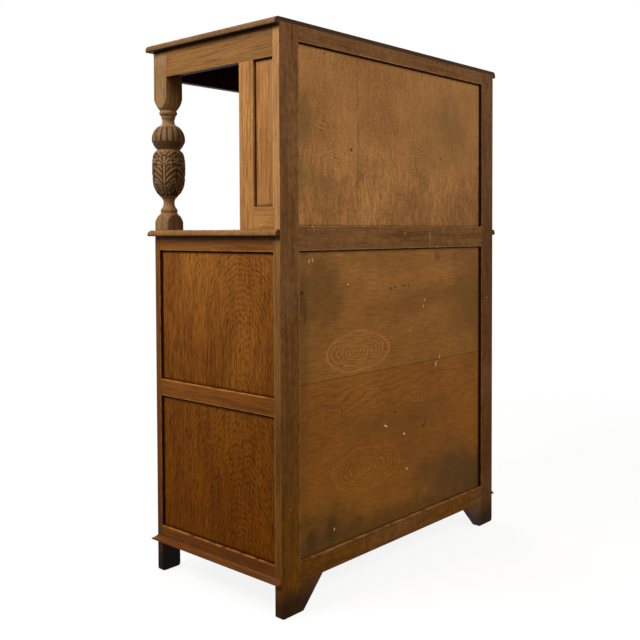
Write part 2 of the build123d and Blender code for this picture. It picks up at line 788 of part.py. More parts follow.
# Canopy, pillars and boards
pillar_right = less(pillar(), frieze_front, frieze_right)
keep("pillar_right", pillar_right)
keep("pillar_left", mirrored(pillar_right))
keep("front_frieze", frieze_front)
keep("top_board", top_board())
keep("middle_board", less(middle_board(), *pair(pillar_right)))


def glue_block(x):
    """A triangular block that ties the front frieze to the top board."""
    y0, z0 = y_front + frieze_thickness, top_board_bottom
    outline = Polyline((y0, z0), (y0 + glue_block_size, z0), (y0, z0 - glue_block_size), close=True)
    face = Plane.YZ.location * make_face(outline)
    return Pos(x - glue_block_length / 2, 0, 0) * extrude(face, glue_block_length, dir=(1, 0, 0))


keep("frieze_glue_blocks", *[glue_block(x) for x in (-half_width / 2, 0, half_width / 2)])

# Upper cupboard: returns, splayed wings and the door's jambs
keep("return_stiles", *pair(return_stile))
return_rail = less(return_rail, return_groove)
keep("return_rails", *pair(return_rail))
keep("return_panels", *pair(return_panel))
frieze_right = less(frieze_right, return_groove)
keep("side_friezes", *pair(frieze_right))

SPLAY = splay_plane()
splay_u0 = splay_stile_width
splay_u1 = leg_length(1) - splay_stile_width
splay_levels = [(middle_board_top, upper_sill_top), (upper_head_low, top_board_bottom)]
splay_rails = [on(SPLAY, rail(splay_u0, splay_u1, *v, screen_thickness)) for v in splay_levels]
splay_opening = (splay_u0, splay_u1, upper_sill_top, upper_head_low)
splay_groove = on(SPLAY, groove(*splay_opening))
splay_outer = corner_post(1, True, splay_stile_width, middle_board_top, top_board_bottom)
splay_outer = less(splay_outer, *splay_rails, splay_groove, frieze_right)
splay_inner = less(
    corner_post(1, False, splay_stile_width, middle_board_top, top_board_bottom), *splay_rails, splay_groove
)
splay_rails = [less(r, splay_groove, frieze_right) for r in splay_rails]
keep("splay_stiles", *pairs([splay_outer, splay_inner]))
keep("splay_rails", *pairs(splay_rails))
keep("splay_panels", *pair(on(SPLAY, fielded(*splay_opening))))

centre_width = 2 * upper_front_half
centre_inner = door_jamb_width, centre_width - door_jamb_width
centre_rails = [on(CENTRE, rail(*centre_inner, *v, screen_thickness)) for v in splay_levels]
jamb = less(corner_post(2, True, door_jamb_width, middle_board_top, top_board_bottom), *centre_rails)
keep("upper_jambs", jamb, less(mirrored(jamb), *upper_jamb_cuts))
keep("upper_sill", centre_rails[0])
keep("upper_head", centre_rails[1])

# Stops
keep(
    "door_stops",
    door_stop(0, y_front_inner, lower_top_rail_low - stop_reach, lower_top_rail_low),
    door_stop(0, upper_front_y + screen_thickness, upper_head_low - stop_reach, upper_head_low),
)

# Doors
door_width = front_opening - 1.5 * door_gap
lower_u0 = half_width + door_gap / 2
lower_rails = [
    (lower_door_low, lower_door_low + door_bottom_rail_height),
    (side_middle_rail_bottom, side_middle_rail_bottom + door_middle_rail_height),
    (lower_door_high - door_top_rail_height, lower_door_high),
]
lower_bounds = lower_u0, lower_u0 + door_width, lower_door_low, lower_door_high
lower_door = door(FRONT, *lower_bounds, door_stile_width, lower_rails, lower_door_cuts)
upper_u0 = door_jamb_width + door_gap
upper_u1 = centre_width - upper_u0
upper_rails = [
    (upper_door_low, upper_door_low + upper_door_rail_height),
    (upper_door_high - upper_door_rail_height, upper_door_high),
]
upper_bounds = upper_u0, upper_u1, upper_door_low, upper_door_high
upper_door = door(CENTRE, *upper_bounds, upper_door_stile_width, upper_rails, upper_door_cuts)
for part_name, shapes in lower_door.items():
    keep(f"lower_door_{part_name}_right", *shapes)
    keep(f"lower_door_{part_name}_left", *[mirrored(s) for s in shapes])
for part_name, shapes in upper_door.items():
    keep(f"upper_door_{part_name}", *shapes)

# Hinges
def all_hinges(part_name):
    """One part of every hinge: the lower pairs on both sides, and the upper pair on the left."""
    lower = pairs([h[part_name] for h in lower_hinges])
    return lower + [mirrored(h[part_name]) for h in upper_hinges]


keep("hinge_jamb_leaves", *all_hinges("fixed"))
keep("hinge_pins", *all_hinges("pin"))
keep("lower_hinge_door_leaves_right", *[h["moving"] for h in lower_hinges])
keep("lower_hinge_door_leaves_left", *[mirrored(h["moving"]) for h in lower_hinges])
keep("upper_hinge_door_leaves", *[mirrored(h["moving"]) for h in upper_hinges])

# Handles, on the meeting stiles and on the upper door's free stile
lower_handle = FRONT.location * Pos(lower_u0 + door_stile_width / 2, handle_height_lower, 0)
handle_height_upper = (upper_door_low + upper_door_high) / 2
upper_handle = CENTRE.location * Pos(upper_u1 - upper_door_stile_width / 2, handle_height_upper, 0)
keep("lower_handle_plate_right", lower_handle * handle_plate())
keep("lower_handle_plate_left", mirrored(lower_handle * handle_plate()))
keep("lower_handle_drop_right", lower_handle * handle_drop())
keep("lower_handle_drop_left", mirrored(lower_handle * handle_drop()))
keep("upper_handle_plate", upper_handle * handle_plate())
keep("upper_handle_drop", upper_handle * handle_drop())


def solids_of(shapes):
    """Every separate solid of a node."""
    return [solid for shape in shapes for solid in shape.solids()]


os.makedirs("parts", exist_ok=True)
for node, shapes in pieces.items():
    export_step(Compound(children=solids_of(shapes)), f"parts/{node}.step")
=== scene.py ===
"""Court cupboard in honey oak: its finishes, carving, studio light and camera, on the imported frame.

Everything is in metres in the part's own frame: +X to the right as seen from the front, -Y to the front
and +Z up, with the origin on the floor. Sizes inside a carving are in millimetres, as its docstrings say.
"""

from __future__ import annotations

import logging
import math
from dataclasses import dataclass, replace
from enum import Enum
from typing import NamedTuple, Union

import bpy
import numpy as np
from mathutils import Matrix, Vector


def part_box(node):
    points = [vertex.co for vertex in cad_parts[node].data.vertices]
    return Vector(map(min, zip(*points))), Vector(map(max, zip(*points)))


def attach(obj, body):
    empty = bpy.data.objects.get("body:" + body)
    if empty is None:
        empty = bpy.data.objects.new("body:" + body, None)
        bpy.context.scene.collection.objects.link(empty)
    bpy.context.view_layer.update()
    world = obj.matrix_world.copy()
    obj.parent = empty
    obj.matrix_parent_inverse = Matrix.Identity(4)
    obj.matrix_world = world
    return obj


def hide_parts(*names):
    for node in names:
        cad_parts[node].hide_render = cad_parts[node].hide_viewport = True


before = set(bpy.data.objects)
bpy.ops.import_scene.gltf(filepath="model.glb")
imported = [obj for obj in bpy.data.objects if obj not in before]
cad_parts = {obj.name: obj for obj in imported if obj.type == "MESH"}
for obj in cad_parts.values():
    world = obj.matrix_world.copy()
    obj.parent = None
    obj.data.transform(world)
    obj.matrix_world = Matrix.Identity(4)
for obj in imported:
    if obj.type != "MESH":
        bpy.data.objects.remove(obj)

Colour = tuple[float, float, float]
Place = tuple[float, float, float]
Value = Union["Signal", float]
Finish = Union["Oak", "Deal", "AgedBrass", "PeeledPly", "RippledVeneer"]

log = logging.getLogger("court_cupboard")

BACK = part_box("back_middle_rail")[1].y  # the back frame's outer plane
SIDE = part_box("side_rails")[1].x  # the side frames' outer plane, from the middle
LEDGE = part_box("middle_board")[0].z  # the underside of the middle board
MIDDLE_RAIL = (0.465, 0.507)  # heights of the middle rails at the sides and in the lower doors
PANELS_PART = ((2, sum(MIDDLE_RAIL) / 2),)  # where the upper panels' wood differs from the lower ones'
TONGUE = 0.005  # a panel runs this far into the frame's groove


def chart(red: int, green: int, blue: int) -> Colour:
    """Turns a chart colour of 0 to 255 into the linear colour that a shader takes."""
    parts = (red / 255, green / 255, blue / 255)
    return tuple(p / 12.92 if p <= 0.04045 else ((p + 0.055) / 1.055) ** 2.4 for p in parts)


def shade(colour: Colour, share: float, lift: float = 0.0) -> Colour:
    """A colour made lighter or darker, and no brighter than white."""
    return tuple(min(1.0, part * share + lift) for part in colour)


# ---------------------------------------------------------------- node sheets
class Signal:
    """A socket on a finish's node sheet; arithmetic on it adds Math or Vector Math nodes."""

    def __init__(self, sheet: Sheet, socket: bpy.types.NodeSocket) -> None:
        """Keeps the socket and the sheet that it is on."""
        self.sheet = sheet
        self.socket = socket

    def _sum(self, operation: str, *terms: Value) -> Signal:
        """Adds one node that works on the given terms, in their order."""
        kind = "ShaderNodeVectorMath" if self.socket.type == "VECTOR" else "ShaderNodeMath"
        return self.sheet.put(kind, {"operation": operation}, dict(enumerate(terms)))

    def __add__(self, other: Value) -> Signal:
        """This plus another."""
        return self._sum("ADD", self, other)

    __radd__ = __add__

    def __sub__(self, other: Value) -> Signal:
        """This less another."""
        return self._sum("SUBTRACT", self, other)

    def __rsub__(self, other: Value) -> Signal:
        """Another less this."""
        return self._sum("SUBTRACT", other, self)

    def __mul__(self, other: Value) -> Signal:
        """This times another."""
        return self._sum("MULTIPLY", self, other)

    __rmul__ = __mul__

    def __pow__(self, other: Value) -> Signal:
        """This raised to a power."""
        return self._sum("POWER", self, other)

    def __gt__(self, other: Value) -> Signal:
        """One where this is above another, and nought elsewhere."""
        return self._sum("GREATER_THAN", self, other)

    def __abs__(self) -> Signal:
        """This without its sign."""
        return self._sum("ABSOLUTE", self)

    def most(self, other: Value) -> Signal:
        """The larger of this and another."""
        return self._sum("MAXIMUM", self, other)

    def least(self, other: Value) -> Signal:
        """The smaller of this and another."""
        return self._sum("MINIMUM", self, other)

    def root(self) -> Signal:
        """Square root."""
        return self._sum("SQRT", self)

    def sine(self) -> Signal:
        """Sine of this angle."""
        return self._sum("SINE", self)

    def whole(self) -> Signal:
        """This rounded down."""
        return self._sum("FLOOR", self)

    def part(self) -> Signal:
        """What is left of this over its whole part."""
        return self._sum("FRACT", self)

    def between(self, low: float, high: float) -> Signal:
        """A soft step.

        Args:
            low: Where it is nought.
            high: Where it is one. The step goes down where low lies above high.

        Returns:
            The step, from nought to one.
        """
        down = low > high
        ends = {"From Min": min(low, high), "From Max": max(low, high), "To Min": float(down)}
        inputs = {"Value": self, **ends, "To Max": float(not down)}
        return self.sheet.put("ShaderNodeMapRange", {"interpolation_type": "SMOOTHSTEP"}, inputs)


class Sheet:
    """The node sheet of one material, or of the surroundings."""

    def __init__(self, owner: bpy.types.Material | bpy.types.World) -> None:
        """Starts an empty sheet.

        Args:
            owner: The material, or the surroundings.
        """
        self.owner = owner
        owner.use_nodes = True
        self.tree = owner.node_tree
        self.tree.nodes.clear()

    @classmethod
    def of(cls, name: str) -> Sheet:
        """Starts the sheet of a new material."""
        return cls(bpy.data.materials.new(name))

    def put(
        self,
        kind: str,
        settings: dict | None = None,
        inputs: dict | None = None,
        output: int | str | None = 0,
    ) -> Signal | None:
        """Adds a node.

        Args:
            kind: Blender's name for the type of node.
            settings: The node's own settings, set first.
            inputs: Values or signals for its sockets, by name or number.
            output: The output that is handed back, or None for a node without one.

        Returns:
            The chosen output.
        """
        node = self.tree.nodes.new(kind)
        for name, value in (settings or {}).items():
            setattr(node, name, value)
        for name, value in (inputs or {}).items():
            socket = node.inputs[name]
            if isinstance(value, Signal):
                self.tree.links.new(value.socket, socket)
            elif socket.type == "RGBA":
                socket.default_value = (*value, 1.0)
            elif socket.type == "VECTOR" and isinstance(value, (int, float)):
                socket.default_value = (value,) * 3
            else:
                socket.default_value = value
        return None if output is None else Signal(self, node.outputs[output])

    def place(self) -> Signal:
        """The point of the surface in the part's own frame."""
        return self.put("ShaderNodeTexCoord", output="Object")

    def axes(self, vector: Signal) -> list[Signal]:
        """The three parts of a vector."""
        first = self.put("ShaderNodeSeparateXYZ", inputs={0: vector})
        return [first, *(Signal(self, first.socket.node.outputs[i]) for i in (1, 2))]

    def noise(
        self, at: Signal, scale: float, detail: float = 2.0, rough: float = 0.5, twist: float = 0.0
    ) -> Signal:
        """Soft noise from nought to one, about a half."""
        sizes = {"Vector": at, "Scale": scale, "Detail": detail, "Roughness": rough, "Distortion": twist}
        return self.put("ShaderNodeTexNoise", {"noise_dimensions": "3D"}, sizes)

    def drawn(
        self, parts: tuple[Value, ...], detail: float = 2.0, rough: float = 0.5, twist: float = 0.0
    ) -> Signal:
        """Noise drawn out by the scale that each of the three parts of its place has been given."""
        at = self.put("ShaderNodeCombineXYZ", inputs=dict(enumerate(parts)))
        return self.noise(at, 1.0, detail, rough, twist)

    def chance(self, seed: Value) -> Signal:
        """A random value from nought to one for each value of the seed."""
        return self.put("ShaderNodeTexWhiteNoise", {"noise_dimensions": "1D"}, {"W": seed})

    def mix(
        self, share: Value, first: Signal | Colour, second: Signal | Colour, blend: str = "MIX"
    ) -> Signal:
        """A colour between two others, or the first blended with the second by some share."""
        settings = {"data_type": "RGBA", "blend_type": blend}
        return self.put("ShaderNodeMix", settings, {0: share, 6: first, 7: second}, 2)

    def finish(self, **sockets: Signal | float | Colour) -> bpy.types.Material:
        """Ends the sheet in one surface shader.

        Args:
            sockets: Values or signals of the shader's sockets, with _ for each space in a name.

        Returns:
            The finished material.
        """
        named = {name.replace("_", " "): value for name, value in sockets.items()}
        self.put_end(self.put("ShaderNodeBsdfPrincipled", inputs=named))
        return self.owner

    def put_end(self, surface: Signal) -> None:
        """Joins a surface shader to the sheet's output."""
        kind = "World" if isinstance(self.owner, bpy.types.World) else "Material"
        self.put(f"ShaderNodeOutput{kind}", inputs={"Surface": surface}, output=None)


class Coat:
    """The colour of a surface, laid up one layer over another."""

    def __init__(self, sheet: Sheet, share: Value, first: Colour, second: Colour) -> None:
        """Starts with a ground between two colours."""
        self.sheet = sheet
        self.colour = sheet.mix(share, first, second)

    def lay(self, share: Value, colour: Signal | Colour) -> None:
        """Lays a colour over some share of the surface."""
        self.colour = self.sheet.mix(share, self.colour, colour)

    def tint(self, share: Value, tint: Signal | Colour) -> None:
        """Multiplies the colour by another over some share of the surface."""
        self.lay(share, self.sheet.mix(1.0, self.colour, tint, "MULTIPLY"))

    def tone(self, strength: Signal) -> None:
        """Makes the colour lighter or darker."""
        grey = self.sheet.put("ShaderNodeCombineColor", inputs=dict.fromkeys(range(3), strength))
        self.colour = self.sheet.mix(1.0, self.colour, grey, "MULTIPLY")

    def end(self, height: Signal, depth: float, **sockets: Value) -> bpy.types.Material:
        """Ends the finish.

        Args:
            height: Height of the surface's relief, from nought to one.
            depth: What that height stands for, in metres.
            sockets: The shader's other sockets, as for Sheet.finish.

        Returns:
            The finished material.
        """
        relief = {"Strength": 1.0, "Distance": depth, "Height": height}
        normal = self.sheet.put("ShaderNodeBump", inputs=relief)
        return self.sheet.finish(Base_Color=self.colour, Normal=normal, **sockets)


# ---------------------------------------------------------------- how boards lie
class Grain(Enum):
    """The axis that a board's fibres run along: numbers of the axes across, through and along."""

    X = (1, 2, 0)
    Y = (0, 2, 1)
    Z = (0, 1, 2)


@dataclass(frozen=True)
class Lie:
    """How the boards of a piece were sawn from the tree, and where one board ends and the next begins."""

    grain: Grain
    heart: tuple[float, float]  # place of the tree's heart across and through the board
    lean: tuple[float, float] = (0.015, 0.05)  # how far the heart moves off for each metre along
    ring: float = 0.0034  # one year's growth
    turn: float = 0.0  # turns the plan, for boards that don't lie square
    cuts: tuple[tuple[int, float], ...] = ()  # axis and place of each plane between two boards
    seed: float = 0.0
    sway: float = 1.0  # how far the rings wander
    fresh: bool = False  # each board above a cut starts its own cathedral


@dataclass(frozen=True)
class Figure:
    """The marks of the grain over a piece's surface."""

    late: Signal  # place in the year's ring, from early to late wood
    early: Signal  # the open early wood, broken into dashes along the fibres
    pores: Signal  # open pores, one where they are
    streaks: Signal  # soft dark streaks along the fibres
    flecks: Signal  # short light and dark dashes
    cloud: Signal  # slow change of tone
    board: Signal  # random value of each board
    place: Signal
    axes: list[Signal]


def read_figure(sheet: Sheet, lie: Lie) -> Figure:
    """Works out the grain of a piece's boards.

    Args:
        sheet: The material's node sheet.
        lie: How the boards lie in the tree.

    Returns:
        The signals that a finish colours.
    """
    place = sheet.place()
    axes = sheet.axes(place)
    paired = lie.grain is not Grain.X or bool(lie.turn)  # other boards run across the middle in one
    mirrored = [abs(axes[0]) if paired else axes[0], axes[1], axes[2]]
    number = (axes[0] > 0.0) * 1.7 + lie.seed if paired else lie.seed
    begun = 0.0
    for step, (axis, where) in enumerate(lie.cuts, start=1):
        above = mirrored[axis] > where
        number = number + above * (2.3 * step + 0.6)
        begun = above * where + begun if lie.fresh else 0.0
    board = sheet.chance(number)
    if lie.turn:
        cos, sin = math.cos(lie.turn), math.sin(lie.turn)
        mirrored = [mirrored[0] * cos + mirrored[1] * sin, mirrored[1] * cos - mirrored[0] * sin, mirrored[2]]
    across, through, along = (mirrored[i] for i in lie.grain.value)
    shift = board * 3.0
    along = along + shift

    def fibres(thick: float, long: float, detail: float = 2.0, rough: float = 0.5, moved: int = 0) -> Signal:
        """Noise drawn out along the fibres, and moved on for each board.

        Args:
            thick: Scale across the fibres.
            long: Scale along them.
            detail: Detail of the noise.
            rough: Roughness of the noise.
            moved: Number of the part that moves on.

        Returns:
            The noise.
        """
        parts = [across * thick, through * thick, along * long]
        parts[moved] = parts[moved] + shift
        return sheet.drawn(tuple(parts), detail, rough)

    wander = (fibres(5.0, 1.6) - 0.5) * (0.034 * lie.sway)
    ripple = (fibres(26.0, 9.0) - 0.5) * (0.0048 * lie.sway)
    jag = (fibres(75.0, 15.0, rough=0.6) - 0.5) * (0.9 * lie.ring * lie.sway)
    risen = along - shift - begun
    aside = across - lie.heart[0] - risen * lie.lean[0] + (board - 0.5) * 0.02
    behind = through - lie.heart[1] - risen * lie.lean[1]
    years = ((aside * aside + behind * behind).root() + wander + ripple + jag) * (1 / lie.ring)
    late = years.part()
    season = sheet.chance(years.whole())
    early = late.between(0.62, 0.0) * (season * 0.6 + 0.4)
    coarse_pores = fibres(620.0, 16.0, rough=0.6).between(0.46, 0.66)
    fine_pores = fibres(1500.0, 62.0, 1.0, moved=1).between(0.5, 0.72)
    pores = (coarse_pores * early + fine_pores * (early * 0.5 + 0.14)).least(1.0)
    dashes = fibres(260.0, 26.0, rough=0.55, moved=1).between(0.4, 0.6)
    open_wood = late.between(0.75, 0.25) * late.between(0.0, 0.12) * dashes * (season * 0.5 + 0.5)
    streaks = fibres(120.0, 6.0, 3.0, 0.6, moved=1)
    flecks = fibres(330.0, 36.0, rough=0.6, moved=2)
    cloud = fibres(9.0, 3.0, 3.0, 0.55)
    return Figure(late, open_wood, pores, streaks, flecks, cloud, board, place, axes)


# ---------------------------------------------------------------- openings and marks
@dataclass(frozen=True)
class Edge:
    """A rectangle that a panel shows, whose margin is darkened against the frame as painted shade."""

    across: int  # axis across the panel
    low: float
    high: float
    bottom: float
    top: float
    face: float = SIDE  # where the frame's own face lies, from the middle

    def within(self, margin: float) -> Edge:
        """The rectangle that lies inside a margin."""
        sides = self.low + margin, self.high - margin, self.bottom + margin, self.top - margin
        return Edge(self.across, *sides, self.face)

    def middle(self) -> tuple[float, float]:
        """Its middle, across and up."""
        return (self.low + self.high) / 2, (self.bottom + self.top) / 2

    def inset(self, axes: list[Signal]) -> Signal:
        """How far a point lies inside the rectangle, below nought outside."""
        across, z = axes[self.across], axes[2]
        return (across - self.low).least(self.high - across).least(z - self.bottom).least(self.top - z)

    def shade_margin(
        self, coat: Coat, axes: list[Signal], reach: float, line: float, hidden: float, dark: Colour
    ) -> None:
        """Paints shade along the panel's four sides, and a painted shadow line along its top and its low
        side.

        Args:
            coat: The panel's colour.
            axes: The three parts of the surface point.
            reach: How far the painted shade reaches from the frame.
            line: Width of the painted shadow line.
            hidden: How much of the wood the painted shade hides.
            dark: The wood's dark tone.
        """
        inset = self.inset(axes)
        ragged = (coat.sheet.noise(coat.sheet.place(), 90.0, 3.0) - 0.5) * (reach * 0.4)
        corner = (axes[self.across] - self.low).least(self.top - axes[2])
        margin_shade = (inset + ragged).between(reach, reach * 0.1) * hidden
        painted_shade = corner.between(line, line * 0.6) * 0.95
        # painted shade along the panel's margin, and a painted shadow line along its top and low side
        coat.lay(margin_shade.most(painted_shade) * inset.between(-TONGUE - 0.003, -TONGUE - 0.001), shade(dark, 0.12))

    def paint_arris_light(
        self,
        coat: Coat,
        axes: list[Signal],
        width: float,
        shows: tuple[float, float],
        pale: Colour,
        dark: Colour,
    ) -> None:
        """Paints a highlight along the frame's arris, and paints shade on its narrow faces but for the ledge
        under the panel.

        Args:
            coat: The frame's colour.
            axes: The three parts of the surface point.
            width: Width of the painted highlight line.
            shows: How clearly the painted highlight and the painted shade show.
            pale: The colour of the painted highlight.
            dark: The wood's dark tone.
        """
        inset = self.inset(axes)
        sunk = abs(axes[1 - self.across]).between(self.face - 0.0006, self.face - 0.0014)
        reveal_shade = sunk * inset.between(-0.0012, -0.0006) * (axes[2] - self.bottom).between(0.001, 0.003)
        broken = coat.sheet.noise(coat.sheet.place(), 38.0, 3.0).between(0.3, 0.6)
        line = inset.between(-width, -width * 0.5) * inset.between(width, width * 0.2) * broken
        # painted highlight along the arris
        coat.lay(line * (1.0 - reveal_shade) * shows[0], pale)
        # painted shade on the reveal, the frame's narrow face beside the panel
        coat.lay(reveal_shade * shows[1], shade(dark, 0.25))


def openings(panel: str, across: int, rail: tuple[float, ...] = (), face: float = SIDE) -> tuple[Edge, ...]:
    """What a frame leaves open over the panels of a node.

    Args:
        panel: The node.
        across: The axis across its panels.
        rail: Lower and upper height of a rail that crosses between two of them.
        face: Where the frame's own face lies, from the middle.

    Returns:
        The openings, from the lowest up.
    """
    low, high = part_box(panel)
    heights = (low.z + TONGUE, *rail, high.z - TONGUE)
    spans = zip(heights[::2], heights[1::2])
    return tuple(Edge(across, low[across] + TONGUE, high[across] - TONGUE, *span, face) for span in spans)


@dataclass(frozen=True)
class Oval:
    """An oval in the plane of the back."""

    x: float
    z: float
    half_length: float
    half_width: float
    angle: float = 0.0  # degrees from level, as seen in the XZ plane

    def out(self, x: Signal, z: Signal) -> Signal:
        """Distance from the middle, one at the rim.

        Args:
            x: Place across the back.
            z: Height.

        Returns:
            The distance, as a share of the oval's own size.
        """
        cos, sin = math.cos(math.radians(self.angle)), math.sin(math.radians(self.angle))
        dx, dz = x - self.x, z - self.z
        along = (dx * cos + dz * sin) * (1 / self.half_length)
        aside = (dz * cos - dx * sin) * (1 / self.half_width)
        return (along * along + aside * aside).root()


@dataclass(frozen=True)
class Mark(Oval):
    """A scar, chip, knot or stain on the back."""

    strength: float = 1.0
    soft: float = 0.35

    def mask(self, axes: list[Signal], ragged: Value = 0.0) -> Signal:
        """The mark's strength inside its ragged outline, falling to nought outside."""
        reach = self.out(axes[0], axes[2]) + ragged
        return reach.between(1.0 + self.soft, 1.0 - self.soft) * self.strength


@dataclass(frozen=True)
class Whorl(Oval):
    """A rise in the log's surface, which a peeled sheet shows as nested ovals."""

    rings: float = 3.0
    clear: float = 1.0  # how clearly its rings show


# ---------------------------------------------------------------- finishes
FALLOFF_HEIGHTS = (1.15, 0.1)  # heights between which painted shade darkens the wood more and more towards the floor


@dataclass(frozen=True)
class Oak:
    """Waxed oak: rings with open pores in the early wood, and a soft sheen."""

    name: str
    lie: Lie
    light: Colour
    body: Colour
    dark: Colour
    pore_strength: float = 0.7
    ring_strength: float = 0.4
    streak_strength: float = 0.5
    roughness: float = 0.5
    edges: tuple[Edge, ...] = ()  # where it is a panel
    arrises: tuple[Edge, ...] = ()  # where it frames panels
    foot: float = 0.0  # height over the floor under which the wood is darkened
    foot_darkening: tuple[float, float] = (0.98, 0.06)  # how much that hides, and its share of the dark tone
    overhang_shadow: float = 0.0  # painted shadow under a board that stands out at this height
    fleck_strength: float = 0.22
    low: Colour = (0.80, 0.64, 0.32)  # painted shade: what the colour is multiplied by near the floor
    gloss: float = 0.07

    def wood(self, sheet: Sheet) -> tuple[Coat, Figure]:
        """Colours the grain.

        Args:
            sheet: The material's node sheet.

        Returns:
            The colour of the wood, darkened towards the floor as painted shade, and the grain's signals.
        """
        grain = read_figure(sheet, self.lie)
        coat = Coat(sheet, grain.cloud.between(0.3, 0.72), self.body, self.light)
        coat.lay(grain.streaks.between(0.42, 0.72) * self.streak_strength, self.dark)
        coat.lay(grain.flecks.between(0.52, 0.72) * self.fleck_strength, shade(self.light, 1.25))
        coat.lay(grain.flecks.between(0.47, 0.30) * self.fleck_strength, self.dark)
        coat.lay(grain.early * self.ring_strength, self.dark)
        coat.lay(grain.pores * self.pore_strength, self.dark)
        coat.tone(grain.board * 0.16 + 0.92)
        # painted shade, darker towards the floor
        coat.tint(grain.axes[2].between(*FALLOFF_HEIGHTS), self.low)
        return coat, grain

    def dress(self, coat: Coat, grain: Figure) -> None:
        """Lays painted shade on panel margins and under an overhanging board, painted highlights along the
        arrises, and darkening at the foot.

        Args:
            coat: The colour so far.
            grain: The grain's signals.
        """
        for edge in self.edges:
            # painted shade along the panel's margins
            edge.shade_margin(coat, grain.axes, 0.010, 0.0058, 0.7, self.dark)
        for edge in self.arrises:
            # painted highlights along the arrises and painted shade on the reveals
            edge.paint_arris_light(coat, grain.axes, 0.0024, (0.6, 0.8), shade(self.light, 1.5), self.dark)
        if self.overhang_shadow:
            # painted shadow under the overhanging board
            under = (grain.axes[2] + grain.streaks * 0.012).between(self.overhang_shadow - 0.04, self.overhang_shadow + 0.004)
            coat.lay(under * 0.55, shade(self.dark, 0.3))
        self.darken_foot(coat, grain)

    def darken_foot(self, coat: Coat, grain: Figure) -> None:
        """Blackens the foot, where it has one.

        Args:
            coat: The colour so far.
            grain: The grain's signals.
        """
        if self.foot:
            hidden, share = self.foot_darkening
            foot_dark = (grain.axes[2] + grain.streaks * 0.02).between(self.foot + 0.02, self.foot * 0.5)
            coat.lay(foot_dark * hidden, shade(self.dark, share))

    def material(self) -> bpy.types.Material:
        """Makes the material.

        Returns:
            The finished material.
        """
        coat, grain = self.wood(Sheet.of(self.name))
        self.dress(coat, grain)
        rough = self.roughness + grain.pores * 0.18 + (grain.cloud - 0.5) * 0.12
        height = 1.0 - grain.pores * 0.8 - grain.streaks * 0.2
        return coat.end(height, 0.00022, Roughness=rough, Specular_IOR_Level=self.gloss)


@dataclass(frozen=True)
class ShadedOak(Oak):
    """Waxed oak with painted shade on its underside and inner faces, and a darker rear edge."""

    inner_x: float = 2.0  # painted shade covers all but the outer face, which lies past this distance from the middle
    below: float = -1.0  # painted shade covers everything under this height but the outer face
    rear: float = 2.0  # the rear edge is darker behind this plane
    rear_tone: float = 0.6  # share of the dark colour laid there

    def dress(self, coat: Coat, grain: Figure) -> None:
        """Paints shade on the underside and inner faces, and darkens the rear edge.

        Args:
            coat: The colour so far.
            grain: The grain's signals.
        """
        x, y, z = grain.axes
        behind = y.between(self.rear - 0.0005, self.rear + 0.0005)
        coat.lay(behind * (1.0 - self.rear_tone * 0.25), shade(self.dark, self.rear_tone))
        within = abs(x).between(self.inner_x, self.inner_x - 0.001)
        # painted shade on the underside and inner faces
        coat.lay(z.between(self.below + 0.001, self.below - 0.001) * within * 0.95, shade(self.dark, 0.1))


@dataclass(frozen=True)
class StainedOak(Oak):
    """Oak under a dark stain that has gone dull, with the marks of use, painted highlights and shade at its
    arrises, and honey wood on its outer sides.
    """

    marks: tuple[Mark, ...] = ()
    face: float = BACK - 0.0007  # the stain covers what lies behind this plane
    side: Oak | None = None  # finish of the faces that show at the side
    side_from: tuple[float, float] = (SIDE - 0.009, SIDE - 0.007)  # where that begins, from the middle
    side_step: float = LEDGE + 0.008  # painted shade: the side face is darker under this height
    side_below: Colour = (0.58, 0.56, 0.50)  # what its colour is multiplied by there
    foot_darkening: tuple[float, float] = (0.8, 0.25)

    def dress(self, coat: Coat, grain: Figure) -> None:
        """Lays bloom and scratches on the stain, and bares the wood at the side.

        Args:
            coat: The colour so far.
            grain: The grain's signals.
        """
        sheet = coat.sheet
        bloom = sheet.noise(grain.place, 7.0, 4.0, 0.6).between(0.42, 0.75)
        coat.lay(bloom * 0.45, shade(self.body, 1.5, 0.012))
        coat.tone(sheet.noise(grain.place, 58.0, 4.0, 0.7).between(0.3, 0.7) * 0.34 + 0.8)
        # colour of the scratches, and of the painted highlights along the arrises
        scar_and_highlight = shade(self.light, 2.6, 0.03)
        for mark in self.marks:
            coat.lay(mark.mask(grain.axes), scar_and_highlight)
        for edge in self.arrises:
            # painted highlights along the arrises and painted shade on the reveals
            edge.paint_arris_light(coat, grain.axes, 0.0022, (0.4, 0.85), scar_and_highlight, self.dark)
        if self.side is not None:
            bare, own = self.side.wood(sheet)
            self.side.dress(bare, own)
            # painted shade on the side face under the ledge
            bare.tint(own.axes[2].between(self.side_step + 0.01, self.side_step - 0.01), self.side_below)
            worn = (sheet.noise(grain.place, 120.0, 3.0) - 0.5) * 0.0012
            front = (grain.axes[1] + worn).between(self.face + 0.0004, self.face - 0.0006)
            coat.lay(front * abs(grain.axes[0]).between(*self.side_from), bare.colour)
        self.darken_foot(coat, grain)


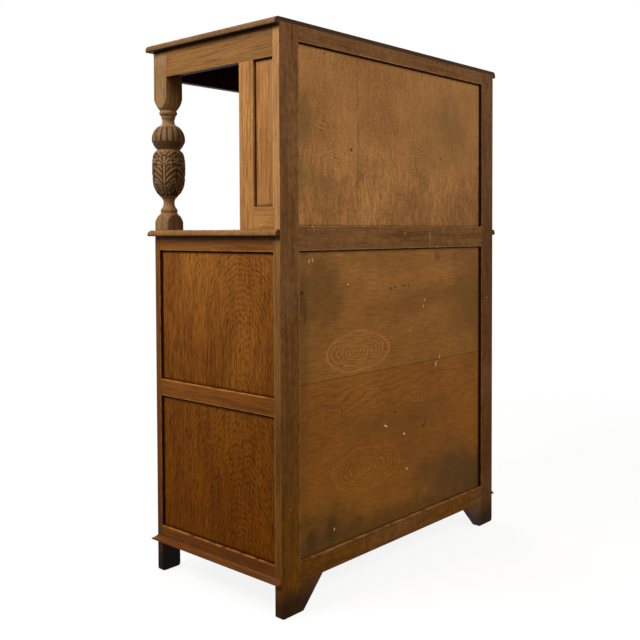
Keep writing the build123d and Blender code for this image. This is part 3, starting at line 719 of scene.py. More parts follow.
@dataclass(frozen=True)
class PeeledPly:
    """Rotary-cut plywood under a thin brown stain, with nested ovals, damp stains, holes and chips."""

    name: str
    light: Colour
    body: Colour
    dark: Colour
    damp: Colour
    chipped: Colour
    join: float  # height of the join between the two sheets
    whorls: tuple[Whorl, ...]
    stains: tuple[Mark, ...]
    knots: tuple[Mark, ...]
    chips: tuple[Mark, ...]
    edge: Edge
    face: float  # where its outer face lies

    def rings(self, sheet: Sheet, x: Signal, z: Signal) -> tuple[Signal, Signal, Signal]:
        """The whorls' nested ovals.

        Args:
            sheet: The material's node sheet.
            x: Place across the sheet.
            z: Height.

        Returns:
            How far each point has risen in the log, how near it is to a whorl, and the whorls' rims.
        """
        stray_x = x + (sheet.drawn((x * 12.0, 6.0, z * 22.0), 4.0) - 0.5) * 0.066
        stray_z = z + (sheet.drawn((x * 15.0, 8.0, z * 18.0), 4.0) - 0.5) * 0.034
        rise = near = rim = 0.0
        for whorl in self.whorls:
            out = whorl.out(stray_x, stray_z)
            rise = (1.0 - out).most(0.0) * whorl.rings + rise
            near = (out.between(1.03, 0.97) * whorl.clear).most(near)
            rim = (abs(out - 1.0).between(0.055, 0.012) * whorl.clear).most(rim)
        return rise, near, rim

    def material(self) -> bpy.types.Material:
        """Makes the material.

        Returns:
            The finished material.
        """
        sheet = Sheet.of(self.name)
        place = sheet.place()
        axes = sheet.axes(place)
        x, z = axes[0], axes[2]
        slow = (sheet.drawn((x * 2.6, 0.0, z * 5.5)) - 0.5) * 7.0
        quick = (sheet.drawn((x * 20.0, 3.0, z * 34.0)) - 0.5) * 1.3
        rise, near, rim = self.rings(sheet, x, z)
        late = ((z * 34.0 + slow + quick) * (1.0 - (near > 0.02) * 0.86) + rise).part()
        line = abs(late - 0.5).between(0.32, 0.5)
        flow = abs((z * 62.0 + slow * 2.0 + quick * 0.9 + rise * 1.5).part() - 0.5).between(0.25, 0.5)
        band = z.between(0.39, 0.43) * z.between(0.54, 0.50)
        faint = sheet.drawn((x * 6.0, 9.0, z * 16.0), 3.0).between(0.45, 0.7)
        chattered = sheet.drawn((x * 5.0, 7.0, z * 6.0), 3.0).between(0.46, 0.6)
        chatter = ((x + (slow + quick) * 0.0016) * 1150.0).sine() * chattered
        fibre = sheet.drawn((x * 14.0, 0.0, z * 700.0), 3.0, 0.65)
        strand = sheet.drawn((x * 22.0, 2.0, z * 190.0), 4.0, 0.7)
        fleck = sheet.drawn((x * 60.0, 0.0, z * 1600.0), 1.0).between(0.52, 0.75)
        cloud = sheet.drawn((x * 2.6, 5.0, z * 4.0), 4.0, 0.6)
        patch = sheet.drawn((x * 9.0, 5.0, z * 15.0), 5.0, 0.65)
        grit = sheet.drawn((x * 170.0, 1.0, z * 260.0), 3.0, 0.7).between(0.3, 0.7)
        coat = Coat(sheet, cloud.between(0.3, 0.72), self.body, self.light)
        coat.lay(near * 0.3, self.light)
        coat.lay(patch.between(0.5, 0.8) * 0.28, self.damp)
        coat.lay(late.between(0.2, 0.8) * (near * 0.2 + 0.04), self.dark)
        coat.lay(flow * (band * 0.2 + faint * 0.12), self.dark)
        coat.lay((line * (near * 0.5 + faint * 0.05)).most(rim * 0.36), shade(self.light, 1.7, 0.01))
        texture = fibre * 0.34 + strand.between(0.32, 0.68) * 0.34 + grit * 0.24 + chatter * 0.10
        coat.tone(texture + 0.55)
        coat.lay(fleck * 0.3, self.dark)
        join = z + (sheet.noise(place, 14.0) - 0.5) * 0.002
        coat.tint(join.between(self.join + 0.0012, self.join - 0.0012), (0.98, 0.88, 0.74))
        # painted shade, darker towards the floor
        coat.tint(z.between(*FALLOFF_HEIGHTS), (0.78, 0.74, 0.34))
        coat.lay(abs(z - self.join).between(0.0022, 0.0006) * 0.5, self.dark)
        ragged = (sheet.noise(place, 16.0, 5.0, 0.65) - 0.5) * 1.9
        outer = axes[1].between(self.face - 0.0030, self.face - 0.0015)
        stains, knots = (self.stains, 1.0, self.damp), (self.knots, 0.25, self.dark)
        for marks, share, colour in (stains, knots, (self.chips, 0.2, self.chipped)):
            for mark in marks:
                coat.lay(mark.mask(axes, ragged * share) * outer, colour)
        # painted shade along the panel's margins
        self.edge.shade_margin(coat, axes, 0.006, 0.0042, 0.6, self.dark)
        rough = 0.6 + (cloud - 0.5) * 0.2
        height = fibre * 0.5 + strand * 0.3 + line * near * 0.2
        return coat.end(height, 0.0003, Roughness=rough, Specular_IOR_Level=0.07)


@dataclass(frozen=True)
class RippledVeneer:
    """A pale veneer with a rippled figure above and short streaks below, laid in two leaves."""

    name: str
    light: Colour
    body: Colour
    dark: Colour
    damp: Colour
    seam: float  # where the two leaves meet
    stains: tuple[Mark, ...]
    knots: tuple[Mark, ...]
    edge: Edge

    def material(self) -> bpy.types.Material:
        """Makes the material.

        Returns:
            The finished material.
        """
        sheet = Sheet.of(self.name)
        place = sheet.place()
        axes = sheet.axes(place)
        leaf = (axes[0] > self.seam) * 0.37
        x, z = axes[0] + leaf, axes[2]
        bend = (sheet.drawn((x * 3.0, leaf, z * 3.6)) - 0.5) * 0.16
        waver = (sheet.drawn((x * 24.0, leaf, z * 28.0)) - 0.5) * 0.016
        ripple = ((z + bend + waver - x * 0.42) * 900.0).sine()
        ripple_fade = sheet.drawn((x * 16.0, 1.0, z * 20.0), 3.0).between(0.36, 0.66)
        cloud = sheet.drawn((x * 4.0, 2.0, z * 4.0), 3.0)
        upper = (z + cloud * 0.2).between(1.10, 1.24)
        lean = (cloud - 0.5) * 0.08
        upright = sheet.drawn(((x + lean) * 85.0, 0.0, z * 19.0), 4.0, 0.75)
        contour = (sheet.drawn((x * 15.0, 4.0, z * 19.0), 3.0, 0.55, 1.8) * 52.0).sine()
        grit = sheet.drawn((x * 260.0, 0.0, z * 230.0), 3.0, 0.7)
        fine = sheet.drawn(((x + lean) * 420.0, 0.0, z * 60.0), 2.0, 0.6)
        strokes = (upright.between(0.33, 0.67) - 0.5) * (0.66 - upper * 0.38)
        specks = (grit.between(0.3, 0.7) - 0.5) * 0.46
        hair = (fine.between(0.3, 0.7) - 0.5) * 0.3
        tone = ripple * ripple_fade * (upper * 0.17 + 0.09) + contour * (0.12 - upper * 0.05)
        coat = Coat(sheet, cloud.between(0.3, 0.7), self.body, self.light)
        coat.lay(upright.between(0.58, 0.72) * (0.26 - upper * 0.2), self.dark)
        coat.lay(upright.between(0.45, 0.30) * (0.34 - upper * 0.2), shade(self.light, 1.55))
        coat.tone(tone + strokes + specks + hair + 1.03)
        broken = sheet.drawn((0.0, 0.0, z * 26.0)).between(0.35, 0.6)
        coat.lay(abs(axes[0] - self.seam).between(0.0024, 0.0004) * broken * 0.8, self.dark)
        ragged = (sheet.noise(place, 26.0, 4.0, 0.6) - 0.5) * 1.2
        for marks, share, colour in ((self.stains, 1.0, self.damp), (self.knots, 0.3, shade(self.dark, 0.4))):
            for mark in marks:
                coat.lay(mark.mask(axes, ragged * share), colour)
        # painted shade along the panel's margins
        self.edge.shade_margin(coat, axes, 0.005, 0.0042, 0.6, self.dark)
        rough = 0.58 + (cloud - 0.5) * 0.16
        return coat.end(fine * 0.4 + upright * 0.6, 0.0003, Roughness=rough, Specular_IOR_Level=0.09)


@dataclass(frozen=True)
class CarvedOak(ShadedOak):
    """Oak cut by hand: painted shade where the tool went deep, and painted highlights on the crests."""

    # colour of the painted shade in the cuts
    cut_shade: Colour = (0.02, 0.01, 0.004)

    def dress(self, coat: Coat, grain: Figure) -> None:
        """Paints shade in the cuts and highlights on the crests.

        Args:
            coat: The colour so far.
            grain: The grain's signals.
        """
        super().dress(coat, grain)
        depth = coat.sheet.put("ShaderNodeAttribute", {"attribute_name": CUT_DEPTH}, output="Fac")
        # painted shade in the cuts, and the dark lines at the joins
        coat.lay(depth.between(0.08, 0.7) * 0.93, self.cut_shade)
        # painted highlight on the crests
        crest_highlight = depth.between(0.12, -0.2) * coat.sheet.noise(grain.place, 90.0, 3.0).between(0.35, 0.7)
        coat.lay(crest_highlight * 0.3, shade(self.light, 1.3))


@dataclass(frozen=True)
class Lozenge:
    """A band cut in relief round a rosette, in the middle of a door panel."""

    x: float
    z: float
    half_width: float
    half_height: float
    inner: float = 0.8  # the band's inner edge over its outer edge
    rosette: float = 0.0245

    def lay(self, coat: Coat, axes: list[Signal], pale: Colour) -> Signal:
        """Paints highlights on the crests of the band and the rosette.

        Args:
            coat: The panel's colour.
            axes: The three parts of the surface point.
            pale: The colour of the painted highlight.

        Returns:
            Where painted shade lies against the band and the rosette.
        """
        dx, dz = axes[0] - self.x, axes[2] - self.z
        share = abs(dx) * (1 / self.half_width) + abs(dz) * (1 / self.half_height)
        out = (dx * dx + dz * dz).root()
        band = share.between(self.inner, self.inner + 0.015) * share.between(1.0, 0.985)
        # painted highlight on the crests of the band and the rosette
        coat.lay(band.most(out.between(self.rosette, self.rosette - 0.002)) * 0.3, pale)
        outside = share.between(1.10, 1.0) * share.between(0.98, 1.0)
        inside = share.between(self.inner - 0.11, self.inner) * share.between(self.inner + 0.02, self.inner)
        rim = self.rosette
        return outside.most(inside).most(out.between(rim + 0.008, rim) * out.between(rim - 0.003, rim))


@dataclass(frozen=True)
class DoorPanelOak(Oak):
    """Oak of a door's raised panels: painted shade lies at the foot of each field and round the lozenge."""

    fields: tuple[Edge, ...] = ()
    lozenge: Lozenge | None = None

    def dress(self, coat: Coat, grain: Figure) -> None:
        """Paints the shade in the creases and the highlights on the crests.

        Args:
            coat: The colour so far.
            grain: The grain's signals.
        """
        super().dress(coat, grain)
        # painted highlights on the crests; painted shade round the band and the rosette
        painted_shade = self.lozenge.lay(coat, grain.axes, shade(self.light, 1.35)) if self.lozenge else 0.0
        for foot in self.fields:
            inset = foot.inset(grain.axes)
            painted_shade = (inset.between(-0.007, 0.0) * inset.between(0.005, 0.0)).most(painted_shade)
        # painted shade at the foot of each field and round the lozenge
        coat.lay(painted_shade * 0.62, shade(self.dark, 0.35))


@dataclass(frozen=True)
class Deal:
    """Bare softwood inside the carcase: broad soft rings and a saw-rough face."""

    name: str
    lie: Lie
    light: Colour = chart(176, 137, 92)
    dark: Colour = chart(122, 84, 48)

    def material(self) -> bpy.types.Material:
        """Makes the material.

        Returns:
            The finished material.
        """
        sheet = Sheet.of(self.name)
        grain = read_figure(sheet, self.lie)
        coat = Coat(sheet, grain.late ** 2.5 * 0.7, self.light, self.dark)
        coat.lay(grain.cloud.between(0.35, 0.75) * 0.35, self.dark)
        coat.tone(grain.streaks * 0.3 + 0.85)
        rough = 0.72 + (grain.cloud - 0.5) * 0.1
        return coat.end(grain.streaks, 0.0002, Roughness=rough, Specular_IOR_Level=0.2)


@dataclass(frozen=True)
class AgedBrass:
    """Cast brass gone brown, and bright where fingers rub it."""

    name: str
    bright: Colour = chart(168, 130, 72)
    brown: Colour = chart(78, 54, 30)

    def material(self) -> bpy.types.Material:
        """Makes the material.

        Returns:
            The finished material.
        """
        sheet = Sheet.of(self.name)
        place = sheet.place()
        bloom = sheet.noise(place, 85.0, 4.0, 0.62)
        pits = sheet.noise(place, 620.0, 3.0, 0.6)
        coat = Coat(sheet, bloom.between(0.38, 0.66), self.bright, self.brown)
        coat.lay(pits.between(0.58, 0.8) * 0.5, self.brown)
        return coat.end(pits, 0.00012, Metallic=1.0, Roughness=0.3 + bloom * 0.3)


# ---------------------------------------------------------------- pieces
CUT_DEPTH = "cut_depth"


def finish_nodes(finish: Finish, arris: float, *nodes: str) -> None:
    """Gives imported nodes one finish, and softens their arrises.

    Args:
        finish: The finish.
        arris: Width of the rounding along sharp edges, or nought for none.
        nodes: The nodes.
    """
    material = finish.material()
    for name in nodes:
        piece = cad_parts[name]
        piece.data.materials.clear()
        piece.data.materials.append(material)
        if arris:
            weld = piece.modifiers.new("joined_corners", "WELD")
            weld.merge_threshold = 0.00001
            soften = piece.modifiers.new("soft_arrises", "BEVEL")
            soften.width = arris
            soften.segments = 2
            soften.limit_method = "ANGLE"
            soften.angle_limit = math.radians(40)
            soften.harden_normals = True
        log.info("dressed %s", name)


def new_carving(node: str, points: np.ndarray, cut: np.ndarray, faces: list, flats: int, finish: Oak) -> None:
    """Makes the carved piece that stands in for a plain node.

    Args:
        node: The plain node.
        points: The carving's points, in metres.
        cut: Depth of the cut at each point, as a share of the deepest.
        faces: Its faces, as numbers of points.
        flats: How many of the last faces are flat.
        finish: Its finish.
    """
    mesh = bpy.data.meshes.new(f"carved_{node}")
    mesh.from_pydata(points.tolist(), [], faces)
    mesh.materials.append(finish.material())
    mesh.polygons.foreach_set("use_smooth", [True] * (len(faces) - flats) + [False] * flats)
    mesh.update()
    piece = bpy.data.objects.new(mesh.name, mesh)
    bpy.context.scene.collection.objects.link(piece)
    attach(piece, "carcase")
    depth = mesh.attributes.new(CUT_DEPTH, "FLOAT", "POINT")
    depth.data.foreach_set("value", cut.astype(np.float32).ravel())
    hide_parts(node)
    log.info("built %s with %d points", piece.name, len(points))


def smooth(low: float, high: float, at: np.ndarray) -> np.ndarray:
    """A soft step from nought at low to one at high."""
    share = np.clip((at - low) / (high - low), 0.0, 1.0)
    return share * share * (3 - 2 * share)


def over(share: np.ndarray, upper: np.ndarray | float, under: np.ndarray | float) -> np.ndarray:
    """One depth over another, by some share of it."""
    return under * (1 - share) + upper * share


def groove(offset: np.ndarray, width: float) -> np.ndarray:
    """The section of a gouge's cut, one at its middle."""
    return np.exp(-((offset / width) ** 2))


def fingers(at: np.ndarray, pitch: float, hollow: float) -> np.ndarray:
    """Rounded ribs side by side with sharp cuts between them, from nought in a cut to one on a crest."""
    return np.abs(np.sin(np.pi * at / pitch)) ** hollow


def quads(rows: int, columns: int, closed: bool) -> list[list[int]]:
    """Faces over a grid of points.

    Args:
        rows: Rows of points.
        columns: Points in a row.
        closed: Whether the last point of a row joins the first.

    Returns:
        The faces, as numbers of points.
    """
    near = np.arange(columns if closed else columns - 1)[None, :]
    row = np.arange(rows - 1)[:, None] * columns
    first, second = row + near, row + (near + 1) % columns
    return np.stack([first, second, second + columns, first + columns], axis=-1).reshape(-1, 4).tolist()


@dataclass(frozen=True)
class Level:
    """A point of a turning's profile: height over its foot and radius, in millimetres."""

    height: float
    radius: float


@dataclass
class Pillar:
    """A cup-and-cover pillar: square ends, turned rings, a leaf-carved cup and a gadrooned cover."""

    node: str
    finish: Oak
    columns: int = 320
    square: float = 52.0
    corner_sharpness: float = 46.0
    leaf_turn: float = 36.0  # degrees from +X to the middle of the first leaf
    leaves: int = 4
    cover_lobes: int = 16
    deepest: float = 2.4
    girth: float = 40.0  # radius at which distances round the cup are measured
    carved: tuple[float, float] = (86.0, 204.5)  # heights between which the cup is carved
    frond_pitch: float = 15.0
    stem: Level = Level(174.0, 3.2)  # its top, and half its width
    oval: Level = Level(109.0, 20.5)  # middle of the oval leaf low on each side of the stem
    oval_half: tuple[float, float] = (20.0, 9.6)
    oval_lean: float = math.radians(50)
    fan: Level = Level(168.0, 14.0)  # where the fan of petals springs, and its least reach
    fan_step: float = 38.0  # degrees from one petal to the next
    flower: Level = Level(178.0, 10.2)  # middle height of the flower between two leaves, and its radius
    band_top: float = 231.0  # where the cover's lobes spring
    rows: tuple[tuple[float, float, float], ...] = (  # from, to and step of the rows of points
        (0.0, 84.0, 1.2),
        (84.0, 206.0, 0.8),
        (206.0, 273.0, 0.8),
        (273.0, 353.0, 1.0),
    )
    head_rows: tuple[float, ...] = (354.0, 380.0, 420.0)
    seams: tuple[tuple[float, float, float], ...] = (  # height, width and strength of dark lines at joins
        (206.5, 1.2, 0.8),
        (84.5, 1.0, 0.5),
    )
    pommel_reach: float = 37.4
    foot_mid: Level = Level(30.0, 32.5)
    foot_top: Level = Level(45.0, 20.5)
    ring_bulge: float = 22.0
    ring_top: Level = Level(56.0, 19.5)
    foot_neck: Level = Level(74.0, 14.4)
    cup_bottom: Level = Level(83.0, 18.0)
    cup_low: Level = Level(102.0, 34.0)
    cup_mid: Level = Level(137.0, 41.8)
    cup_bulge: float = 43.2
    cup_high: Level = Level(188.0, 41.0)
    cup_shoulder: Level = Level(201.0, 36.5)
    waist: Level = Level(208.0, 28.5)
    cover_mid: Level = Level(235.0, 43.0)
    cover_top: Level = Level(272.0, 20.5)
    head_neck: Level = Level(279.0, 16.0)
    fillet_low: Level = Level(291.0, 18.5)
    fillet_top: Level = Level(296.0, 18.5)
    collar_bulge: float = 23.0
    collar_top: Level = Level(309.0, 20.5)
    head_mid: Level = Level(327.0, 32.5)
    head_top: Level = Level(352.0, 37.4)
    past_head: float = 900.0  # the head keeps its radius up to here, past the top of any pillar

    @staticmethod
    def arc(start: Level, middle: Level, end: Level) -> list[tuple[float, float]]:
        """Points of the arc through three levels, without its last point.

        Args:
            start: Where it begins.
            middle: A level that it passes.
            end: Where it ends.

        Returns:
            Heights and radii along the arc.
        """
        a, b, c = (complex(level.radius, level.height) for level in (start, middle, end))
        w = (c - a) / (b - a)
        centre = (b - a) * (w - abs(w) ** 2) / (2j * w.imag) + a
        radius = abs(a - centre)
        first = math.atan2((a - centre).imag, (a - centre).real)
        turned = [(p - centre) / (a - centre) for p in (b, c)]
        past, sweep = (math.atan2(t.imag, t.real) for t in turned)
        if past * sweep < 0 or abs(past) > abs(sweep):
            sweep -= math.copysign(2 * math.pi, sweep)
        steps = [first + sweep * i / 24 for i in range(24)]
        return [(centre.imag + radius * math.sin(t), centre.real + radius * math.cos(t)) for t in steps]

    def profile(self) -> np.ndarray:
        """The turning's outline from foot to head.

        Returns:
            Rows of height and radius.
        """
        def ring(low: Level, top: Level, bulge: float) -> Level:
            """The widest level of a ring or of the cup's side."""
            return Level((low.height + top.height) / 2, bulge)

        def swell(end: Level) -> Level:
            """A level halfway along the arc that leaves the cover's widest level upright.

            Args:
                end: Where the arc ends.

            Returns:
                The level.
            """
            rise, inset = end.height - self.cover_mid.height, self.cover_mid.radius - end.radius
            radius = (rise ** 2 + inset ** 2) / (2 * inset)
            half = math.atan2(rise, radius - inset) / 2
            up, inwards = radius * math.sin(half), radius * (1 - math.cos(half))
            return Level(self.cover_mid.height + up, self.cover_mid.radius - inwards)

        stretches = [
            (Level(0.0, self.pommel_reach), self.foot_mid, self.foot_top),
            (self.foot_top, ring(self.foot_top, self.ring_top, self.ring_bulge), self.ring_top),
            (self.ring_top, self.foot_neck, self.cup_bottom),
            (self.cup_bottom, self.cup_low, self.cup_mid),
            (self.cup_mid, ring(self.cup_mid, self.cup_high, self.cup_bulge), self.cup_high),
            (self.cup_high, self.cup_shoulder, self.waist),
            (self.waist, swell(self.waist), self.cover_mid),
            (self.cover_mid, swell(self.cover_top), self.cover_top),
            (self.cover_top, self.head_neck, self.fillet_low),
            (self.fillet_top, ring(self.fillet_top, self.collar_top, self.collar_bulge), self.collar_top),
            (self.collar_top, self.head_mid, self.head_top),
        ]
        points = [point for stretch in stretches for point in self.arc(*stretch)]
        points.append((self.head_top.height, self.head_top.radius))
        points.append((self.past_head, self.head_top.radius))
        outline = np.array(points)
        return outline[np.argsort(outline[:, 0], kind="stable")]

    def cup_cut(self, aside: np.ndarray, height: np.ndarray) -> np.ndarray:
        """Depth of the cup's leaf carving.

        Args:
            aside: Distance round the cup from the nearest leaf's middle, in millimetres.
            height: Height over the pillar's foot, in millimetres.

        Returns:
            Depth below the turned surface, in millimetres.
        """
        off = np.abs(aside)
        climb = height - off * (1.65 - off * 0.023) - 94.0
        width = 8.0 + 22.0 * smooth(90.0, 130.0, height) + 2.0 * smooth(140.0, 170.0, height)
        tip = width - 4.5 * (1 - fingers(climb, self.frond_pitch, 0.9))
        cut = 0.15 + 2.3 * (1 - fingers(climb, self.frond_pitch, 0.75))
        vein = (climb / self.frond_pitch - np.floor(climb / self.frond_pitch) - 0.62) * self.frond_pitch
        cut = np.maximum(cut, 1.3 * groove(vein, 0.8) * smooth(5.0, 9.0, off))
        cut = over(smooth(-0.8, 0.8, off - tip), 2.6, cut)

        cos, sin = math.cos(self.oval_lean), math.sin(self.oval_lean)
        beside, above = off - self.oval.radius, height - self.oval.height
        u, v = beside * cos + above * sin, above * cos - beside * sin
        oval = np.sqrt((u / self.oval_half[0]) ** 2 + (v / self.oval_half[1]) ** 2)
        cut = np.maximum(cut, 2.6 * smooth(1.28, 1.12, oval))
        ribs = fingers(u + 0.8 * np.abs(v) + 2.0, 6.0, 0.8)
        spoon = 0.1 + smooth(0.84, 0.72, oval) * (0.5 + 2.0 * (1 - ribs))
        cut = over(smooth(1.04, 0.97, oval), spoon, cut)

        top, half = self.stem.height, self.stem.radius
        cut = np.maximum(cut, 2.4 * groove(off - half - 0.4, 1.0) * smooth(top, top - 6.0, height))
        cut = over(smooth(half, half - 1.0, off) * smooth(top + 2.0, top - 2.0, height), 0.05, cut)

        up = height - self.fan.height
        reach = np.sqrt(off ** 2 + up ** 2)
        around = np.degrees(np.arctan2(off, up))
        petal = np.abs(np.cos(np.radians(around * 180 / self.fan_step)))
        size = self.fan.radius + 9.0 * petal ** 0.8
        near = smooth(118.0, 108.0, around)
        cut = np.maximum(cut, 2.5 * smooth(size + 3.2, size + 1.4, reach) * near)
        fan = 0.05 + 2.4 * (1 - petal ** 0.45) * smooth(3.0, 8.0, reach) + 1.2 * smooth(4.5, 3.0, reach)
        cut = over(smooth(0.6, -0.6, reach - size) * near, fan, cut)

        x, y = off - math.pi / self.leaves * self.girth, height - self.flower.height
        ring = np.sqrt(x ** 2 + y ** 2)
        cut = np.maximum(cut, 2.5 * smooth(13.0, 11.5, ring))
        petals = np.abs(np.cos(2.5 * np.arctan2(y, x)))
        flower = 2.2 * (1 - petals ** 0.5) * smooth(2.0, 3.4, ring) + 0.1
        cut = over(smooth(self.flower.radius + 0.4, self.flower.radius - 0.4, ring), flower, cut)
        low, high = self.carved
        return cut * smooth(low, low + 5.0, height) * smooth(high, high - 4.5, height)

    def cover_cut(self, turn: np.ndarray, height: np.ndarray) -> np.ndarray:
        """Depth of the cover's carving: lobes over a plain band.

        Args:
            turn: Angle round the pillar, in radians.
            height: Height over the pillar's foot, in millimetres.

        Returns:
            Depth below the turned surface, in millimetres.
        """
        wave = np.abs(np.cos(turn * self.cover_lobes / 2))
        foot = self.band_top - 6.0 * wave
        lobes = 2.3 * (1 - wave ** 0.7) + 1.3 * groove(np.sin(turn * self.cover_lobes / 2) * 8.0, 1.1)
        lobes = np.maximum(lobes, 0.9 * groove((1 - wave) * 8.0 - 1.2, 0.6))
        cut = over(smooth(foot - 0.8, foot + 0.8, height), lobes, 1.2)
        cut = np.maximum(cut, 2.4 * groove(height - foot, 1.1))
        cut = cut * smooth(213.0, 216.0, height) * smooth(269.0, 263.0, height)
        return np.maximum(cut, 2.0 * groove(height - 212.5, 1.2))

    def build(self) -> None:
        """Builds the pillar in its node's place, from its seat on the middle board up to the top board."""
        low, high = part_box(self.node)
        centre = (low.x + high.x) / 2, (low.y + high.y) / 2
        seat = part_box("middle_board")[1].z
        tall = (high.z - seat) * 1000
        heights = np.concatenate([*(np.arange(*stretch) for stretch in self.rows), self.head_rows, [tall]])
        turns = np.arange(self.columns) * (2 * math.pi / self.columns)
        outline = self.profile()
        turned = np.interp(heights, outline[:, 0], outline[:, 1])[:, None]
        power = self.corner_sharpness
        spread = (np.abs(np.cos(turns)) ** power + np.abs(np.sin(turns)) ** power) ** (1 / power)
        cornered = (heights < self.foot_top.height) | (heights > self.collar_top.height)
        radius = np.where(cornered[:, None], np.minimum(turned, self.square / 2 / spread), turned)
        step = 2 * math.pi / self.leaves
        sign, half_turn = (1.0, 0.0) if centre[0] > 0 else (-1.0, math.pi)
        from_leaf = sign * turns - math.radians(self.leaf_turn) + half_turn
        turn = np.broadcast_to((from_leaf + step / 2) % step - step / 2, radius.shape)
        height = np.broadcast_to(heights[:, None], radius.shape)
        on_cup = height < self.waist.height
        cut = np.where(on_cup, self.cup_cut(turn * self.girth, height), self.cover_cut(turn, height))
        radius = radius - cut
        x = centre[0] + radius * np.cos(turns) / 1000
        y = centre[1] + radius * np.sin(turns) / 1000
        points = np.stack([x, y, seat + height / 1000], axis=-1).reshape(-1, 3)
        faces = quads(*radius.shape, closed=True)
        ends = [list(range(self.columns))[::-1], list(range(radius.size - self.columns, radius.size))]
        lines = sum(groove(height - level, width) * strength for level, width, strength in self.seams)
        depth = (cut + lines) / self.deepest
        new_carving(self.node, points, depth, faces + ends, len(ends), self.finish)


@dataclass
class LunetteFrieze:
    """The canopy's front rail, carved with a row of lunettes that hold fanned leaves."""

    finish: Oak
    node: str = "front_frieze"
    lunettes: int = 7
    margin: float = 7.0  # plain border, in millimetres
    deepest: float = 2.4
    pitch: float = 0.9  # spacing of the carving's points, in millimetres
    half_run: float = 0.405  # from the middle to a pillar's inner face, in metres
    plain_end: float = 8.0  # plain length at each end, in millimetres

    def cut(self, x: np.ndarray, z: np.ndarray, width: float, height: float) -> np.ndarray:
        """Depth of the carving.

        Args:
            x: Place along the rail from its middle, in millimetres.
            z: Height over the rail's lower edge, in millimetres.
            width: Length of the carved band.
            height: Height of the rail.

        Returns:
            Depth below the rail's face, in millimetres.
        """
        bay = width / self.lunettes
        u = (x + width / 2) % bay - bay / 2
        v = z - self.margin - 1.0
        reach = np.sqrt(u ** 2 + (v * 1.04) ** 2)
        around = np.arctan2(u, np.maximum(v, 0.01))
        outer = height - 2 * self.margin - 3.0
        cut = np.full(x.shape, self.deepest)
        spandrel = np.abs(bay / 2 - np.abs(u))
        dart = smooth(0.7, -0.7, spandrel - (v - 16.0) * 0.42) * smooth(16.0, 20.0, v)
        cut = over(dart, 0.3 + 1.2 * groove(spandrel, 0.9), cut)
        band = 0.15 + 1.6 * groove(reach - outer + 4.2, 0.9) + 1.9 * groove(reach - outer + 9.0, 1.0)
        cut = over(smooth(0.6, -0.6, reach - outer), np.minimum(band, self.deepest), cut)
        petal = np.abs(np.cos(around * 3.5))
        fan = smooth(0.7, -0.7, reach - (outer - 15.0 + 5.0 * petal))
        cut = over(smooth(outer - 9.4, outer - 10.4, reach), self.deepest, cut)
        vein = groove(np.sin(around * 3.5) * reach / 3.5 * 1.6, 0.6)
        leaf = 0.3 + 1.9 * (1 - petal ** 0.5) + 0.6 * vein * smooth(10.0, 14.0, reach)
        cut = over(fan, np.minimum(leaf, self.deepest), cut)
        cut = over(smooth(9.0, 8.2, reach), 0.2 + 1.5 * groove(reach - 6.2, 0.8), cut)
        border = np.minimum(np.minimum(z, height - z) - self.margin, width / 2 - np.abs(x))
        return cut * smooth(-0.5, 0.5, border)

    def build(self) -> None:
        """Builds the rail with its carved face."""
        low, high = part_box(self.node)
        half = self.half_run
        width, height = half * 2000, (high.z - low.z) * 1000
        across = np.linspace(-width / 2, width / 2, int(width / self.pitch))
        x, z = np.meshgrid(across, np.linspace(0.0, height, int(height / self.pitch)))
        cut = self.cut(x, z, width - 2 * self.plain_end, height)
        front = np.stack([x / 1000, low.y + cut / 1000, low.z + z / 1000], axis=-1).reshape(-1, 3)
        corners = ((-half, low.z), (half, low.z), (half, high.z), (-half, high.z))
        rear = [(end, high.y, level) for end, level in corners]
        numbers = np.arange(x.size).reshape(x.shape)
        rims = (numbers[0], numbers[-1], numbers[:, 0], numbers[:, -1])
        bottom, top, near, far = (rim.tolist() for rim in rims)
        back = x.size
        sides = [
            [back + 3, back + 2, back + 1, back],
            [back, back + 1, *bottom[::-1]],
            [*top, back + 2, back + 3],
            [*near, back + 3, back],
            [back + 1, back + 2, *far[::-1]],
        ]
        depth = np.concatenate([(cut / self.deepest).ravel(), np.zeros(len(rear))])
        faces = quads(*x.shape, closed=False) + sides
        new_carving(self.node, np.concatenate([front, rear]), depth, faces, len(sides), self.finish)


# ---------------------------------------------------------------- palettes
class Palette(NamedTuple):
    """Three tones of one wood."""

    light: Colour
    body: Colour
    dark: Colour

    def shaded(self, share: float) -> Palette:
        """The same wood, lighter or darker."""
        return Palette(*(shade(tone, share) for tone in self))


HONEY = Palette(chart(170, 124, 72), chart(146, 98, 50), chart(80, 47, 20))
DEEP_HONEY = Palette(chart(150, 98, 42), chart(124, 74, 28), chart(62, 32, 8))
BACK_STAIN = Palette(chart(112, 78, 45), chart(94, 62, 34), chart(48, 28, 12))
CARVED = Palette(chart(136, 104, 68), chart(102, 75, 47), chart(44, 28, 15))
REAR_SIDE = Palette(chart(166, 126, 80), chart(140, 101, 60), chart(80, 50, 26))
SIDE_FALLOFF = (0.52, 0.40, 0.08)  # painted shade: how much darker the lower stage's side is painted towards the floor
SIDE_OPENINGS = openings("side_panels", 1, MIDDLE_RAIL)
RETURN_OPENINGS = openings("return_panels", 1)
BACK_OPENINGS = openings("back_lower_panel", 0, face=BACK) + openings("back_upper_panel", 0, face=BACK)


def honey(name: str, lie: Lie, palette: Palette = HONEY, **more: object) -> Oak:
    """Waxed oak of a palette, laid in a given way."""
    return Oak(name, lie, *palette, **more)


